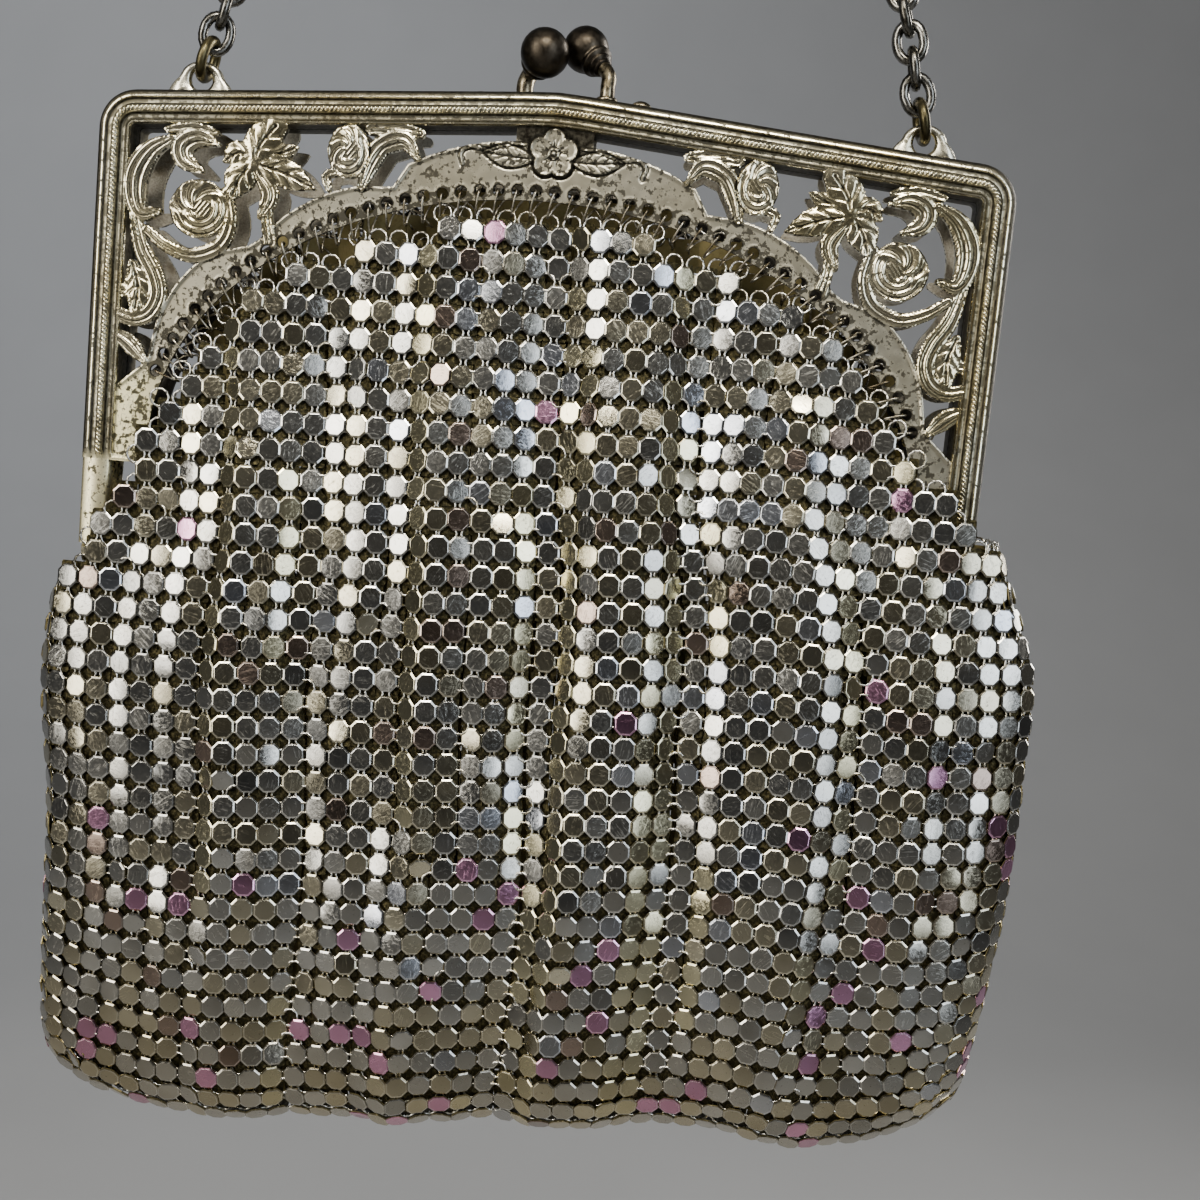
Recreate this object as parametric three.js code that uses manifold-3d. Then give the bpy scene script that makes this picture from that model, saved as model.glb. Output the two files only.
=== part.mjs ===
// Metal mesh frame handbag: a hinged silver-plated frame with pierced scroll corners and a ball clasp,
// a pouch of linked metal scales, and a chain handle.
// Millimetres, +Z up, the front faces -Y. The origin is where the chain's loop hangs.
// Inside the bag group, heights are measured from the frame's outer top corners.

import * as THREE from 'three';
import { mergeVertices } from 'three/addons/utils/BufferGeometryUtils.js';
import Module from 'manifold-3d';

const wasm = await Module();
wasm.setup();

// Clearance between neighbouring pieces
const GAP = 0.3;

// Frame halves
const FRAME_HALF_WIDTH = 63.5;
const GABLE_RISE = 5;
const GABLE_SLOPE = Math.atan2(GABLE_RISE, FRAME_HALF_WIDTH);
const CORNER_RADIUS = 5.5;
const CORNER_STEPS = 3;
const RAIL_END = -51;
const RAIL_WIDTH = 4.9;

// Section of the rail: distance inward from the outer edge, and depth in front of the middle plane
const RAIL_SECTION = [
  { inward: 0, depth: GAP / 2 },
  { inward: 0, depth: 2.3 },
  { inward: 0.55, depth: 3.4 },
  { inward: 1.05, depth: 3.7 },
  { inward: 1.4, depth: 3.3 },
  { inward: 1.9, depth: 4.4 },
  { inward: 2.5, depth: 4.75 },
  { inward: 3.1, depth: 4.4 },
  { inward: 3.5, depth: 3.5 },
  { inward: 4.3, depth: 3.5 },
  { inward: RAIL_WIDTH, depth: 3.9 },
  { inward: RAIL_WIDTH, depth: GAP / 2 },
];

// Arch band: a flat plate over an elliptical mouth, with a scalloped upper edge
const PLATE_BACK = 2.4;
const PLATE_FRONT = 3.4;
const ARCH_HALF_WIDTH = 54;
const ARCH_RISE = 38.5;
const ARCH_FOOT = -48.5;
const ARCH_STEPS = 26;
const SCALLOP_STEPS = 4;

// Upper edge of the band from the centre tab outwards; bow is the bulge of the run that ends at the point
const BAND_EDGE = [
  { x: 5.3, height: 0.6, bow: 0 },
  { x: 5.3, height: -2.3, bow: 0 },
  { x: 19.8, height: -6.6, bow: 0.8 },
  { x: 21.8, height: -9.9, bow: 0 },
  { x: 25.9, height: -10.1, bow: 0 },
  { x: 39.8, height: -18.6, bow: 1.5 },
  { x: 41.2, height: -19.6, bow: 0 },
  { x: 46.0, height: -20.8, bow: 0 },
  { x: 54.0, height: -33.2, bow: 1.6 },
  { x: 54.6, height: -36.6, bow: 0 },
  { x: 59.2, height: -40.8, bow: 0 },
  { x: 59.2, height: RAIL_END, bow: 0 },
  { x: ARCH_HALF_WIDTH, height: RAIL_END, bow: 0 },
];

// Raised scroll work of one corner. Each stroke is an arc between two points; bow is its bulge to the left
// of the way it runs, and widths are at its start, middle and end.
const SCROLL_BACK = 2.2;
const SCROLL_CROWN = 4.2;
const STROKE_TURN_STEP = THREE.MathUtils.degToRad(33);
const STROKE_MIN_STEPS = 3;
const STROKES = [
  { part: 'outer C scroll', from: [52.9, -4.7], to: [55.2, -19.2], bow: 3.5, widths: [1.0, 3.3, 1.2] },
  { part: 'crest under the rail', from: [45.8, -4.9], to: [54.6, -5.0], bow: 0.5, widths: [0.7, 1.9, 0.9] },
  { part: 'volute tail', from: [45.6, -16.2], to: [55.4, -18.6], bow: -4.6, widths: [2.0, 1.5, 1.0] },
  { part: 'leaf lobe to the rail', from: [42.0, -8.8], to: [40.0, -2.8], bow: 0.3, widths: [2.0, 3.6, 3.0] },
  { part: 'leaf lobe to the side', from: [41.5, -8.2], to: [45.4, -8.6], bow: 0.2, widths: [1.6, 2.7, 0.8] },
  { part: 'leaf lobe to the middle', from: [42.3, -8.2], to: [33.4, -11], bow: -0.4, widths: [1.4, 3, 0.6] },
  { part: 'leaf lobe to the volute', from: [42.4, -8.4], to: [45, -14], bow: -0.4, widths: [1.6, 2.7, 1] },
  { part: 'hanging leaf', from: [40.6, -10.2], to: [41.6, -16.6], bow: -2.4, widths: [0.8, 2.5, 0.5] },
  { part: 'hanging leaf foot', from: [38.8, -14.2], to: [39.0, -19.0], bow: 0, widths: [1.6, 1.5, 1.5] },
  { part: 'bean tail', from: [30.6, -8.2], to: [33.6, -11.6], bow: 0.3, widths: [2.0, 1.2, 0.6] },
  { part: 'bridge under the rail', from: [19.6, -2.6], to: [30.0, -2.6], bow: 0, widths: [1.2, 2.6, 1.4] },
  { part: 'inner C scroll', from: [19.2, -6.6], to: [25.9, -10.4], bow: 3.9, widths: [1.2, 2.8, 1.2] },
  { part: 'stem', from: [57.2, -16.0], to: [54.2, -25.5], bow: -0.3, widths: [0.8, 1.3, 2.4] },
  { part: 'stem leaf', from: [54.6, -23.5], to: [59.2, -30.4], bow: -2.6, widths: [1.2, 2.8, 1.2] },
  { part: 'stem leaf heart', from: [54.8, -24.5], to: [59.0, -28.4], bow: -0.4, widths: [1.2, 2.6, 1.0] },
  { part: 'lower curl', from: [53.4, -33.4], to: [59.2, -34.8], bow: -2.0, widths: [1.0, 1.9, 1.0] },
];

// Spirals of one corner: from the start angle through the turn, in degrees, going from outer to inner radius
const VOLUTES = [
  { part: 'acanthus volute', centre: [49.3, -15.2], outer: 3.5, inner: 0.7, start: 215, turn: -500,
    widths: [1.9, 1.9, 1.2] },
  { part: 'curl over the volute', centre: [48.0, -8.6], outer: 4.5, inner: 2.0, start: 160, turn: -230,
    widths: [0.6, 2.7, 1.4] },
  { part: 'bean volute', centre: [29.0, -5.5], outer: 2.9, inner: 0.8, start: -60, turn: 400,
    widths: [1.7, 1.7, 1.2] },
];

// Relief on the centre tab
const MOTIF_BACK = 3.1;
const LEAF_CROWN = 4.0;
const MOTIF_STROKES = [
  { part: 'flower leaf', from: [2.4, -4.1], to: [9.8, -4.3], bow: 0.4, widths: [0.6, 2.3, 0.4] },
  { part: 'tendril', from: [9.2, -4.1], to: [12.9, -5.9], bow: 1.0, widths: [0.5, 0.6, 0.5] },
];
const FLOWER = { height: -3.6, petals: 5, reach: 1.95 };
const PETAL = { radius: 1.5, rise: 0.75 };
const HEART = { radius: 0.7, rise: 1.0 };
const DOME = { shoulder: 0.7, hollow: 0.7, sides: 7 };

// Plain lower end of each rail
const END_TOP = -50;
const END_FOOT = -61;
const END_FRONT = 3.0;
const END_INNER_TOP = FRAME_HALF_WIDTH - RAIL_WIDTH;
const END_INNER_FOOT = 59.2;

// Hinge at the lower ends: one tongue of each half side by side, and a pin along X
const HINGE_HEIGHT = -64.5;
const TONGUE_THICKNESS = 1.4;
const TONGUE_INNER_X = 59.2;
const TONGUE_OUTER_X = TONGUE_INNER_X + TONGUE_THICKNESS + GAP;
const TONGUE_RADIUS = 2.5;
const TONGUE_TOP = -58;
const TONGUE_FRONT = 3.0;
const TONGUE_BACK = 1.0;
const TONGUE_HEEL = 1.0;
const TONGUE_EYE = { from: 111, to: -120, steps: 8 };
const HOLE_STEPS = 10;
const PIN_SIDES = 10;
const PIN_RADIUS = 0.9;
const PIN_HEAD_RADIUS = 1.8;
const PIN_HEAD = 0.6;

// Chain lugs, soldered to the back half
const LUG_X = 50.5;
const LUG_HALF_BASE = 3.9;
const LUG_RADIUS = 2.4;
const LUG_HOLE_RADIUS = 1.55;
const LUG_HOLE_HEIGHT = 2.95;
const LUG_FRONT = 1.7;
const LUG_BACK = 0.3;
const LUG_SUNK = 1.0;
const LUG_FLARE = 0.5;
const LUG_HEAD = { from: 10, to: 170, steps: 8 };

// Jump rings and chain
const RING_RADIUS = 2.6;
const RING_WIRE = 0.75;
const RING_BOTTOM = 3.3;
const RING_SIDES = 6;
const RING_STEPS = 14;
const CHAIN_Y = (LUG_FRONT + LUG_BACK) / 2;
const CHAIN_LEAN = THREE.MathUtils.degToRad(15);
const CHAIN_RADIUS = 2.3;
const CHAIN_BEND = 12;
const CHAIN_STEPS = 44;
const CHAIN_SIDES = 8;
const LEG_POINTS = 6;
const BEND_ANGLES = [35, 55, 75];

// Ball clasp
const BALL_RADIUS = 3.2;
const POST_RADIUS = 0.95;
const POST_DEPTH = 1.25;
const POST_SEAT = 0.4;
const POST_UPRIGHT = 1.6;
const POST_SIDES = 8;
const POST_STEPS = 7;
const NECK = { inward: 0.3, depth: 0.5, belowBall: 3.4 };
const COLLAR = { length: 1.4, ballEnd: 2.0, postEnd: 1.4, clearOfBall: 0.2, sides: 10 };
const BALL_SIDES = 12;
const BALL_ROWS = 8;
const CLASPS = [
  { half: 'front', side: 1, footX: 6.4, ballX: 2.7, ballY: 2.25, ballHeight: 11.8 },
  { half: 'back', side: -1, footX: 5.8, ballX: 2.7, ballY: 2.25, ballHeight: 10.2 },
];
const RIVET_X = 11.3;
const RIVET = { halfLength: 1.35, halfWidth: 0.95, rise: 0.75 };

// Mesh pouch: half width, half depth and sideways sway at each level
const WALL = 1.2;
const POUCH_LEVELS = [
  { height: -8, halfWidth: 65.6, halfDepth: 3.6, sway: 0 },
  { height: -50, halfWidth: 65.6, halfDepth: 7.2, sway: 1.2 },
  { height: -60, halfWidth: 67.6, halfDepth: 8.0, sway: 3.2 },
  { height: -70, halfWidth: 70.4, halfDepth: 8.7, sway: 3.8 },
  { height: -82, halfWidth: 71.2, halfDepth: 9.2, sway: 3.5 },
  { height: -102, halfWidth: 70.3, halfDepth: 9.6, sway: 4.1 },
  { height: -126, halfWidth: 68.8, halfDepth: 9.6, sway: 3.1 },
  { height: -148, halfWidth: 66.5, halfDepth: 9.0, sway: 2.0 },
];
const BODY_ROUNDNESS = 4;

// Upper edge of the mesh: under the arch, then down over the rail with a slope of its own on each side
const RIM = { frontDepth: 3.5, sideDepth: 7.0, turnFrom: 41, turnTo: 57, roundness: 10, settle: 34 };
const RIM_SIDE = { leaveArch: 51, slopeLeft: 2.1, slopeRight: 0.95 };

// Lower edge of the mesh: a straight slant to the right, a sag near the right corner, and two round corners
const BOTTOM = { height: -143.6, slant: 0.09, slantEnd: 30, sagFrom: 34, sagTo: 46, sag: 1.8 };
const CORNER = { rise: 10, power: 8 };
const SEAM = { height: 9, halfDepth: 0.9, floor: 1.25 };

// Vertical folds of the mesh: place across the width, half breadth, and depth inwards
const FOLDS = [
  { at: -54, breadth: 5.0, depth: 1.6 },
  { at: -30, breadth: 4.5, depth: 2.0 },
  { at: -8, breadth: 5.0, depth: 1.6 },
  { at: 13.5, breadth: 3.8, depth: 2.0 },
  { at: 23, breadth: 3.8, depth: 2.0 },
  { at: 51, breadth: 4.5, depth: 1.8 },
];
const FOLD_START = -34;
const FOLD_FULL = -110;
const POUCH_COLUMNS = 26;
const FLAT_SHARE = 0.94;
const SIDE_COLUMNS = [0.965, 0.99];
const POUCH_ROWS = [0, 0.08, 0.18, 0.31, 0.46, 0.61, 0.75, 0.87, 0.95, 1];

const MATERIALS = {
  silver: { color: 0xb9b29a, roughness: 0.3, metalness: 1 },
  gunmetal: { color: 0x5b564c, roughness: 0.35, metalness: 1 },
  bronze: { color: 0x7a6f55, roughness: 0.4, metalness: 1 },
  steel: { color: 0x8b8980, roughness: 0.35, metalness: 1 },
  scales: { color: 0xa9a7a0, roughness: 0.25, metalness: 1 },
};

// A closed geometry from corner points and triangles, with its faces pointing out
function closedGeometry(points, triangles) {
  let volume = 0;
  for (const [a, b, c] of triangles) {
    volume += points[a].dot(new THREE.Vector3().crossVectors(points[b], points[c]));
  }
  const geometry = new THREE.BufferGeometry();
  geometry.setFromPoints(points);
  geometry.setIndex(triangles.flatMap(([a, b, c]) => (volume > 0 ? [a, b, c] : [a, c, b])));
  return geometry;
}

function toSolid(source) {
  const geometry = source.clone();
  for (const name of Object.keys(geometry.attributes)) {
    if (name !== 'position') geometry.deleteAttribute(name);
  }
  const merged = mergeVertices(geometry, 1e-4);
  const vertProperties = Float32Array.from(merged.attributes.position.array);
  const corners = Array.from(merged.index.array);
  const triVerts = [];
  for (let i = 0; i < corners.length; i += 3) {
    const triangle = corners.slice(i, i + 3);
    if (new Set(triangle).size === 3) triVerts.push(...triangle);
  }
  const mesh = new wasm.Mesh({ numProp: 3, vertProperties, triVerts: Uint32Array.from(triVerts) });
  return new wasm.Manifold(mesh);
}

function toGeometry(solid) {
  const mesh = solid.getMesh();
  const geometry = new THREE.BufferGeometry();
  geometry.setAttribute('position', new THREE.BufferAttribute(mesh.vertProperties, 3));
  geometry.setIndex(new THREE.BufferAttribute(mesh.triVerts, 1));
  return geometry;
}

function fuse(geometries) {
  return geometries.map(toSolid).reduce((whole, next) => whole.add(next));
}

function mirrored(geometry) {
  const copy = geometry.clone().scale(-1, 1, 1);
  const index = copy.index ? Array.from(copy.index.array) : [...copy.attributes.position.array.keys()];
  const count = copy.index ? index.length : copy.attributes.position.count;
  const flipped = [];
  for (let i = 0; i < count; i += 3) {
    flipped.push(index[i], index[i + 2], index[i + 1]);
  }
  copy.setIndex(flipped);
  return copy;
}

// A solid through rings of points; section is the ring's flat shape, which closes both ends
function loft(rings, section) {
  const size = section.length;
  const points = rings.flat();
  const triangles = [];
  for (let r = 0; r + 1 < rings.length; r++) {
    for (let i = 0; i < size; i++) {
      const a = r * size + i;
      const b = r * size + ((i + 1) % size);
      triangles.push([a, b, b + size], [a, b + size, a + size]);
    }
  }
  const last = (rings.length - 1) * size;
  for (const face of THREE.ShapeUtils.triangulateShape(section, [])) {
    const [a, b, c] = face.sort((m, n) => m - n);
    triangles.push([c, b, a], [last + a, last + b, last + c]);
  }
  return closedGeometry(points, triangles);
}

// A flat plate standing in the XZ plane, between two depths in front of the middle plane
function uprightPlate(shape, back, front) {
  const geometry = new THREE.ExtrudeGeometry(shape, { depth: front - back, bevelEnabled: false });
  return geometry.rotateX(Math.PI / 2).translate(0, -back, 0);
}

const railTop = (x) => GABLE_RISE - Math.abs(x) * Math.tan(GABLE_SLOPE);

// Rail of one half: the section carried round the gabled outline
function railGeometry() {
  const centreX = FRAME_HALF_WIDTH - CORNER_RADIUS;
  const centreHeight = (-CORNER_RADIUS * (1 - Math.sin(GABLE_SLOPE))) / Math.cos(GABLE_SLOPE);
  const right = [{ x: FRAME_HALF_WIDTH, height: RAIL_END, inX: -1, inHeight: 0 }];
  for (let i = 0; i <= CORNER_STEPS; i++) {
    const angle = ((Math.PI / 2 - GABLE_SLOPE) * i) / CORNER_STEPS;
    const outX = Math.cos(angle);
    const outHeight = Math.sin(angle);
    const x = centreX + CORNER_RADIUS * outX;
    const height = centreHeight + CORNER_RADIUS * outHeight;
    right.push({ x, height, inX: -outX, inHeight: -outHeight });
  }
  const peak = { x: 0, height: GABLE_RISE, inX: 0, inHeight: -1 / Math.cos(GABLE_SLOPE) };
  const left = right.map((s) => ({ ...s, x: -s.x, inX: -s.inX })).reverse();
  const rings = [...right, peak, ...left].map((s) =>
    RAIL_SECTION.map(({ inward, depth }) =>
      new THREE.Vector3(s.x + s.inX * inward, -depth, s.height + s.inHeight * inward)));
  return loft(rings, RAIL_SECTION.map(({ inward, depth }) => new THREE.Vector2(inward, depth)));
}

// Point of an arc between two points, as a share of its run, with its turn
function arcPoint(from, to, bow, share) {
  const along = new THREE.Vector2(to[0] - from[0], to[1] - from[1]);
  const half = along.length() / 2;
  along.normalize();
  const across = new THREE.Vector2(-along.y, along.x);
  const turn = 2 * Math.atan2(bow, half);
  let alongway = 2 * half * share;
  let sideways = 0;
  if (Math.abs(turn) > 1e-6) {
    const radius = half / Math.sin(turn);
    alongway = radius * (Math.sin(turn) - Math.sin(turn * (1 - 2 * share)));
    sideways = radius * (Math.cos(turn * (1 - 2 * share)) - Math.cos(turn));
  }
  const start = new THREE.Vector2(from[0], from[1]);
  return start.addScaledVector(along, alongway).addScaledVector(across, sideways);
}

function archBandGeometry() {
  const half = [];
  BAND_EDGE.forEach((point, i) => {
    if (point.bow === 0) {
      half.push(new THREE.Vector2(point.x, point.height));
      return;
    }
    const before = BAND_EDGE[i - 1];
    for (let k = 1; k <= SCALLOP_STEPS; k++) {
      half.push(arcPoint([before.x, before.height], [point.x, point.height], point.bow, k / SCALLOP_STEPS));
    }
  });
  const mouth = [];
  for (let i = 0; i <= ARCH_STEPS; i++) {
    const angle = (Math.PI * i) / ARCH_STEPS;
    mouth.push(new THREE.Vector2(ARCH_HALF_WIDTH * Math.cos(angle), ARCH_FOOT + ARCH_RISE * Math.sin(angle)));
  }
  const left = half.map((p) => new THREE.Vector2(-p.x, p.y));
  const outline = [...left.reverse(), ...half, ...mouth];
  return uprightPlate(new THREE.Shape(outline), PLATE_BACK, PLATE_FRONT);
}

// A ridged stroke: three-sided section, as wide as the widths say, highest along its middle
function ridge(pointAt, steps, widths, back, crown) {
  const widest = Math.max(...widths);
  const rings = [];
  for (let i = 0; i <= steps; i++) {
    const share = i / steps;
    const here = pointAt(share);
    const ahead = pointAt(Math.min(1, share + 1e-3)).sub(pointAt(Math.max(0, share - 1e-3))).normalize();
    const [start, middle, end] = widths;
    const edge = share < 0.5 ? start : end;
    const width = edge + (middle - edge) * Math.sin(Math.PI * share);
    const rise = (crown - back) * (0.5 + (0.5 * width) / widest);
    const sideX = (-ahead.y * width) / 2;
    const sideHeight = (ahead.x * width) / 2;
    rings.push([
      new THREE.Vector3(here.x - sideX, -back, here.y - sideHeight),
      new THREE.Vector3(here.x, -back - rise, here.y),
      new THREE.Vector3(here.x + sideX, -back, here.y + sideHeight),
    ]);
  }
  return loft(rings, [new THREE.Vector2(0, 0), new THREE.Vector2(1, 1), new THREE.Vector2(2, 0)]);
}

function strokeGeometry({ from, to, bow, widths }, back, crown) {
  const half = Math.hypot(to[0] - from[0], to[1] - from[1]) / 2;
  const turn = 4 * Math.abs(Math.atan2(bow, half));
  const steps = Math.max(STROKE_MIN_STEPS, Math.ceil(turn / STROKE_TURN_STEP));
  return ridge((share) => arcPoint(from, to, bow, share), steps, widths, back, crown);
}

function voluteGeometry({ centre, outer, inner, start, turn, widths }) {
  const sweep = THREE.MathUtils.degToRad(turn);
  const begin = THREE.MathUtils.degToRad(start);
  const pointAt = (share) => {
    const radius = outer + (inner - outer) * share;
    const angle = begin + sweep * share;
    return new THREE.Vector2(centre[0] + radius * Math.cos(angle), centre[1] + radius * Math.sin(angle));
  };
  return ridge(pointAt, Math.ceil(Math.abs(sweep) / STROKE_TURN_STEP), widths, SCROLL_BACK, SCROLL_CROWN);
}

// A low dome on the front of the plate
function dome(x, height, radius, rise) {
  const profile = [
    new THREE.Vector2(0, MOTIF_BACK),
    new THREE.Vector2(radius, MOTIF_BACK),
    new THREE.Vector2(radius * DOME.shoulder, PLATE_FRONT + rise),
    new THREE.Vector2(0, PLATE_FRONT + rise * DOME.hollow),
  ];
  return new THREE.LatheGeometry(profile, DOME.sides).rotateX(Math.PI).translate(x, 0, height);
}

function flowerGeometries() {
  const petals = [];
  for (let i = 0; i < FLOWER.petals; i++) {
    const angle = Math.PI / 2 + (2 * Math.PI * i) / FLOWER.petals;
    const x = FLOWER.reach * Math.cos(angle);
    const height = FLOWER.height + FLOWER.reach * Math.sin(angle);
    petals.push(dome(x, height, PETAL.radius, PETAL.rise));
  }
  return [...petals, dome(0, FLOWER.height, HEART.radius, HEART.rise)];
}

// Points of a circle's arc between two angles in degrees
function arcPoints(x, y, radius, from, to, steps) {
  const points = [];
  for (let i = 0; i <= steps; i++) {
    const angle = THREE.MathUtils.degToRad(from + ((to - from) * i) / steps);
    points.push(new THREE.Vector2(x + radius * Math.cos(angle), y + radius * Math.sin(angle)));
  }
  return points;
}

function holePath(x, y, radius) {
  const lastAngle = 360 - 360 / HOLE_STEPS;
  return new THREE.Path(arcPoints(x, y, radius, 0, lastAngle, HOLE_STEPS - 1));
}

// The plain lower end of the right rail
function railEndGeometry() {
  const shape = new THREE.Shape([
    new THREE.Vector2(END_INNER_TOP, END_TOP),
    new THREE.Vector2(END_INNER_FOOT, END_FOOT),
    new THREE.Vector2(FRAME_HALF_WIDTH, END_FOOT),
    new THREE.Vector2(FRAME_HALF_WIDTH, END_TOP),
  ]);
  return uprightPlate(shape, GAP / 2, END_FRONT);
}

// A hinge tongue: a flat strip from the rail's end to an eye round the pin
function tongueGeometry(x) {
  const eye = arcPoints(0, HINGE_HEIGHT, TONGUE_RADIUS, TONGUE_EYE.from, TONGUE_EYE.to, TONGUE_EYE.steps);
  const strip = [
    new THREE.Vector2(-TONGUE_FRONT, HINGE_HEIGHT + TONGUE_HEEL),
    new THREE.Vector2(-TONGUE_FRONT, TONGUE_TOP),
    new THREE.Vector2(-TONGUE_BACK, TONGUE_TOP),
  ];
  const shape = new THREE.Shape([...strip, ...eye]);
  shape.holes.push(holePath(0, HINGE_HEIGHT, PIN_RADIUS + GAP));
  const geometry = new THREE.ExtrudeGeometry(shape, { depth: TONGUE_THICKNESS, bevelEnabled: false });
  const turn = new THREE.Matrix4().makeBasis(
    new THREE.Vector3(0, 1, 0), new THREE.Vector3(0, 0, 1), new THREE.Vector3(1, 0, 0));
  return geometry.applyMatrix4(turn).translate(x, 0, 0);
}

function frameHalfSolid() {
  const corner = [
    ...STROKES.map((stroke) => strokeGeometry(stroke, SCROLL_BACK, SCROLL_CROWN)),
    ...VOLUTES.map(voluteGeometry),
    ...MOTIF_STROKES.map((stroke) => strokeGeometry(stroke, MOTIF_BACK, LEAF_CROWN)),
  ];
  return fuse([
    railGeometry(),
    archBandGeometry(),
    ...flowerGeometries(),
    ...corner,
    ...corner.map(mirrored),
    railEndGeometry(),
    mirrored(railEndGeometry()),
    tongueGeometry(TONGUE_INNER_X),
    tongueGeometry(-TONGUE_OUTER_X - TONGUE_THICKNESS),
  ]);
}

// A lug: an ogee plate rising from the rail, with a round hole
function lugGeometry(x) {
  const base = railTop(LUG_X) - LUG_SUNK;
  const head = arcPoints(x, LUG_HOLE_HEIGHT, LUG_RADIUS, LUG_HEAD.from, LUG_HEAD.to, LUG_HEAD.steps);
  const flank = (side) => new THREE.Vector2(x + side * (LUG_RADIUS + LUG_FLARE), base + LUG_SUNK + LUG_FLARE);
  const foot = (side) => new THREE.Vector2(x + side * LUG_HALF_BASE, base);
  const shape = new THREE.Shape([foot(1), flank(1), ...head, flank(-1), foot(-1)]);
  shape.holes.push(holePath(x, LUG_HOLE_HEIGHT, LUG_HOLE_RADIUS));
  return uprightPlate(shape, LUG_BACK, LUG_FRONT);
}

function hingePinGeometry() {
  const inner = TONGUE_INNER_X - GAP;
  const outer = TONGUE_OUTER_X + TONGUE_THICKNESS + GAP;
  const profile = [
    new THREE.Vector2(0, inner - PIN_HEAD),
    new THREE.Vector2(PIN_HEAD_RADIUS, inner - PIN_HEAD),
    new THREE.Vector2(PIN_HEAD_RADIUS, inner),
    new THREE.Vector2(PIN_RADIUS, inner),
    new THREE.Vector2(PIN_RADIUS, outer),
    new THREE.Vector2(PIN_HEAD_RADIUS, outer),
    new THREE.Vector2(PIN_HEAD_RADIUS, outer + PIN_HEAD),
    new THREE.Vector2(0, outer + PIN_HEAD),
  ];
  return new THREE.LatheGeometry(profile, PIN_SIDES).rotateZ(-Math.PI / 2);
}

function roundSection(radius, sides) {
  const points = [];
  for (let i = 0; i < sides; i++) {
    const angle = (2 * Math.PI * i) / sides;
    points.push(new THREE.Vector2(radius * Math.cos(angle), radius * Math.sin(angle)));
  }
  return new THREE.Shape(points);
}

// Post, stepped collar and ball of one half's clasp, soldered into one
function claspSolid({ side, footX, ballX, ballY, ballHeight }) {
  const foot = new THREE.Vector3(side * footX, -side * POST_DEPTH, railTop(footX) + POST_SEAT);
  const ball = new THREE.Vector3(side * ballX, side * ballY, ballHeight);
  const neckX = side * (footX - NECK.inward);
  const neck = new THREE.Vector3(neckX, -side * NECK.depth, ballHeight - NECK.belowBall);
  const bend = foot.clone().setZ(foot.z + POST_UPRIGHT);
  const route = new THREE.CatmullRomCurve3([foot, bend, neck, ball]);
  const section = roundSection(POST_RADIUS, POST_SIDES);
  const post = new THREE.ExtrudeGeometry(section, { steps: POST_STEPS, extrudePath: route });
  const sphere = new THREE.SphereGeometry(BALL_RADIUS, BALL_SIDES, BALL_ROWS);
  sphere.translate(ball.x, ball.y, ball.z);
  const inward = ball.clone().sub(neck).normalize();
  const collarPlace = ball.clone().addScaledVector(inward, -BALL_RADIUS - COLLAR.clearOfBall);
  const collar = new THREE.CylinderGeometry(COLLAR.ballEnd, COLLAR.postEnd, COLLAR.length, COLLAR.sides);
  collar.applyQuaternion(new THREE.Quaternion().setFromUnitVectors(new THREE.Vector3(0, 1, 0), inward));
  collar.translate(collarPlace.x, collarPlace.y, collarPlace.z);
  return fuse([post, collar, sphere]);
}

function rivetGeometry() {
  const profile = [
    new THREE.Vector2(0, 0),
    new THREE.Vector2(1, 0),
    new THREE.Vector2(0.8, 0.6),
    new THREE.Vector2(0, 1),
  ];
  const geometry = new THREE.LatheGeometry(profile, PIN_SIDES).rotateX(Math.PI / 2);
  return geometry.scale(RIVET.halfLength, RIVET.halfWidth, RIVET.rise);
}

// Lower end of the chain on one side, above the jump ring
const RING_REACH = 2 * RING_RADIUS + RING_WIRE + GAP;
const CHAIN_END_X = LUG_X - RING_REACH * Math.sin(CHAIN_LEAN);
const CHAIN_CENTRE_Z = CHAIN_RADIUS - CHAIN_BEND;
const LEG_TOP_X = CHAIN_BEND * Math.cos(CHAIN_LEAN);
const LEG_TOP_Z = CHAIN_CENTRE_Z + CHAIN_BEND * Math.sin(CHAIN_LEAN);
const LEG_LENGTH = (CHAIN_END_X - LEG_TOP_X) / Math.sin(CHAIN_LEAN);
const CHAIN_END_Z = LEG_TOP_Z - LEG_LENGTH * Math.cos(CHAIN_LEAN);
const CORNER_Z = CHAIN_END_Z - RING_BOTTOM - RING_REACH * Math.cos(CHAIN_LEAN);

// The chain's outer form: two straight legs and a round bend where it hangs
function chainGeometry() {
  const right = [];
  for (let i = 0; i <= LEG_POINTS; i++) {
    const share = i / LEG_POINTS;
    const x = CHAIN_END_X + (LEG_TOP_X - CHAIN_END_X) * share;
    const z = CHAIN_END_Z + (LEG_TOP_Z - CHAIN_END_Z) * share;
    right.push(new THREE.Vector3(x, CHAIN_Y * (1 - share), z));
  }
  for (const angle of BEND_ANGLES) {
    const turn = THREE.MathUtils.degToRad(angle);
    const z = CHAIN_CENTRE_Z + CHAIN_BEND * Math.sin(turn);
    right.push(new THREE.Vector3(CHAIN_BEND * Math.cos(turn), 0, z));
  }
  const left = right.map((p) => new THREE.Vector3(-p.x, p.y, p.z)).reverse();
  const route = new THREE.CatmullRomCurve3([...right, new THREE.Vector3(0, 0, CHAIN_RADIUS), ...left]);
  const section = roundSection(CHAIN_RADIUS, CHAIN_SIDES);
  return new THREE.ExtrudeGeometry(section, { steps: CHAIN_STEPS, extrudePath: route });
}

// Pouch surface
const smooth = (low, high, value) => THREE.MathUtils.smoothstep(value, low, high);

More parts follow.
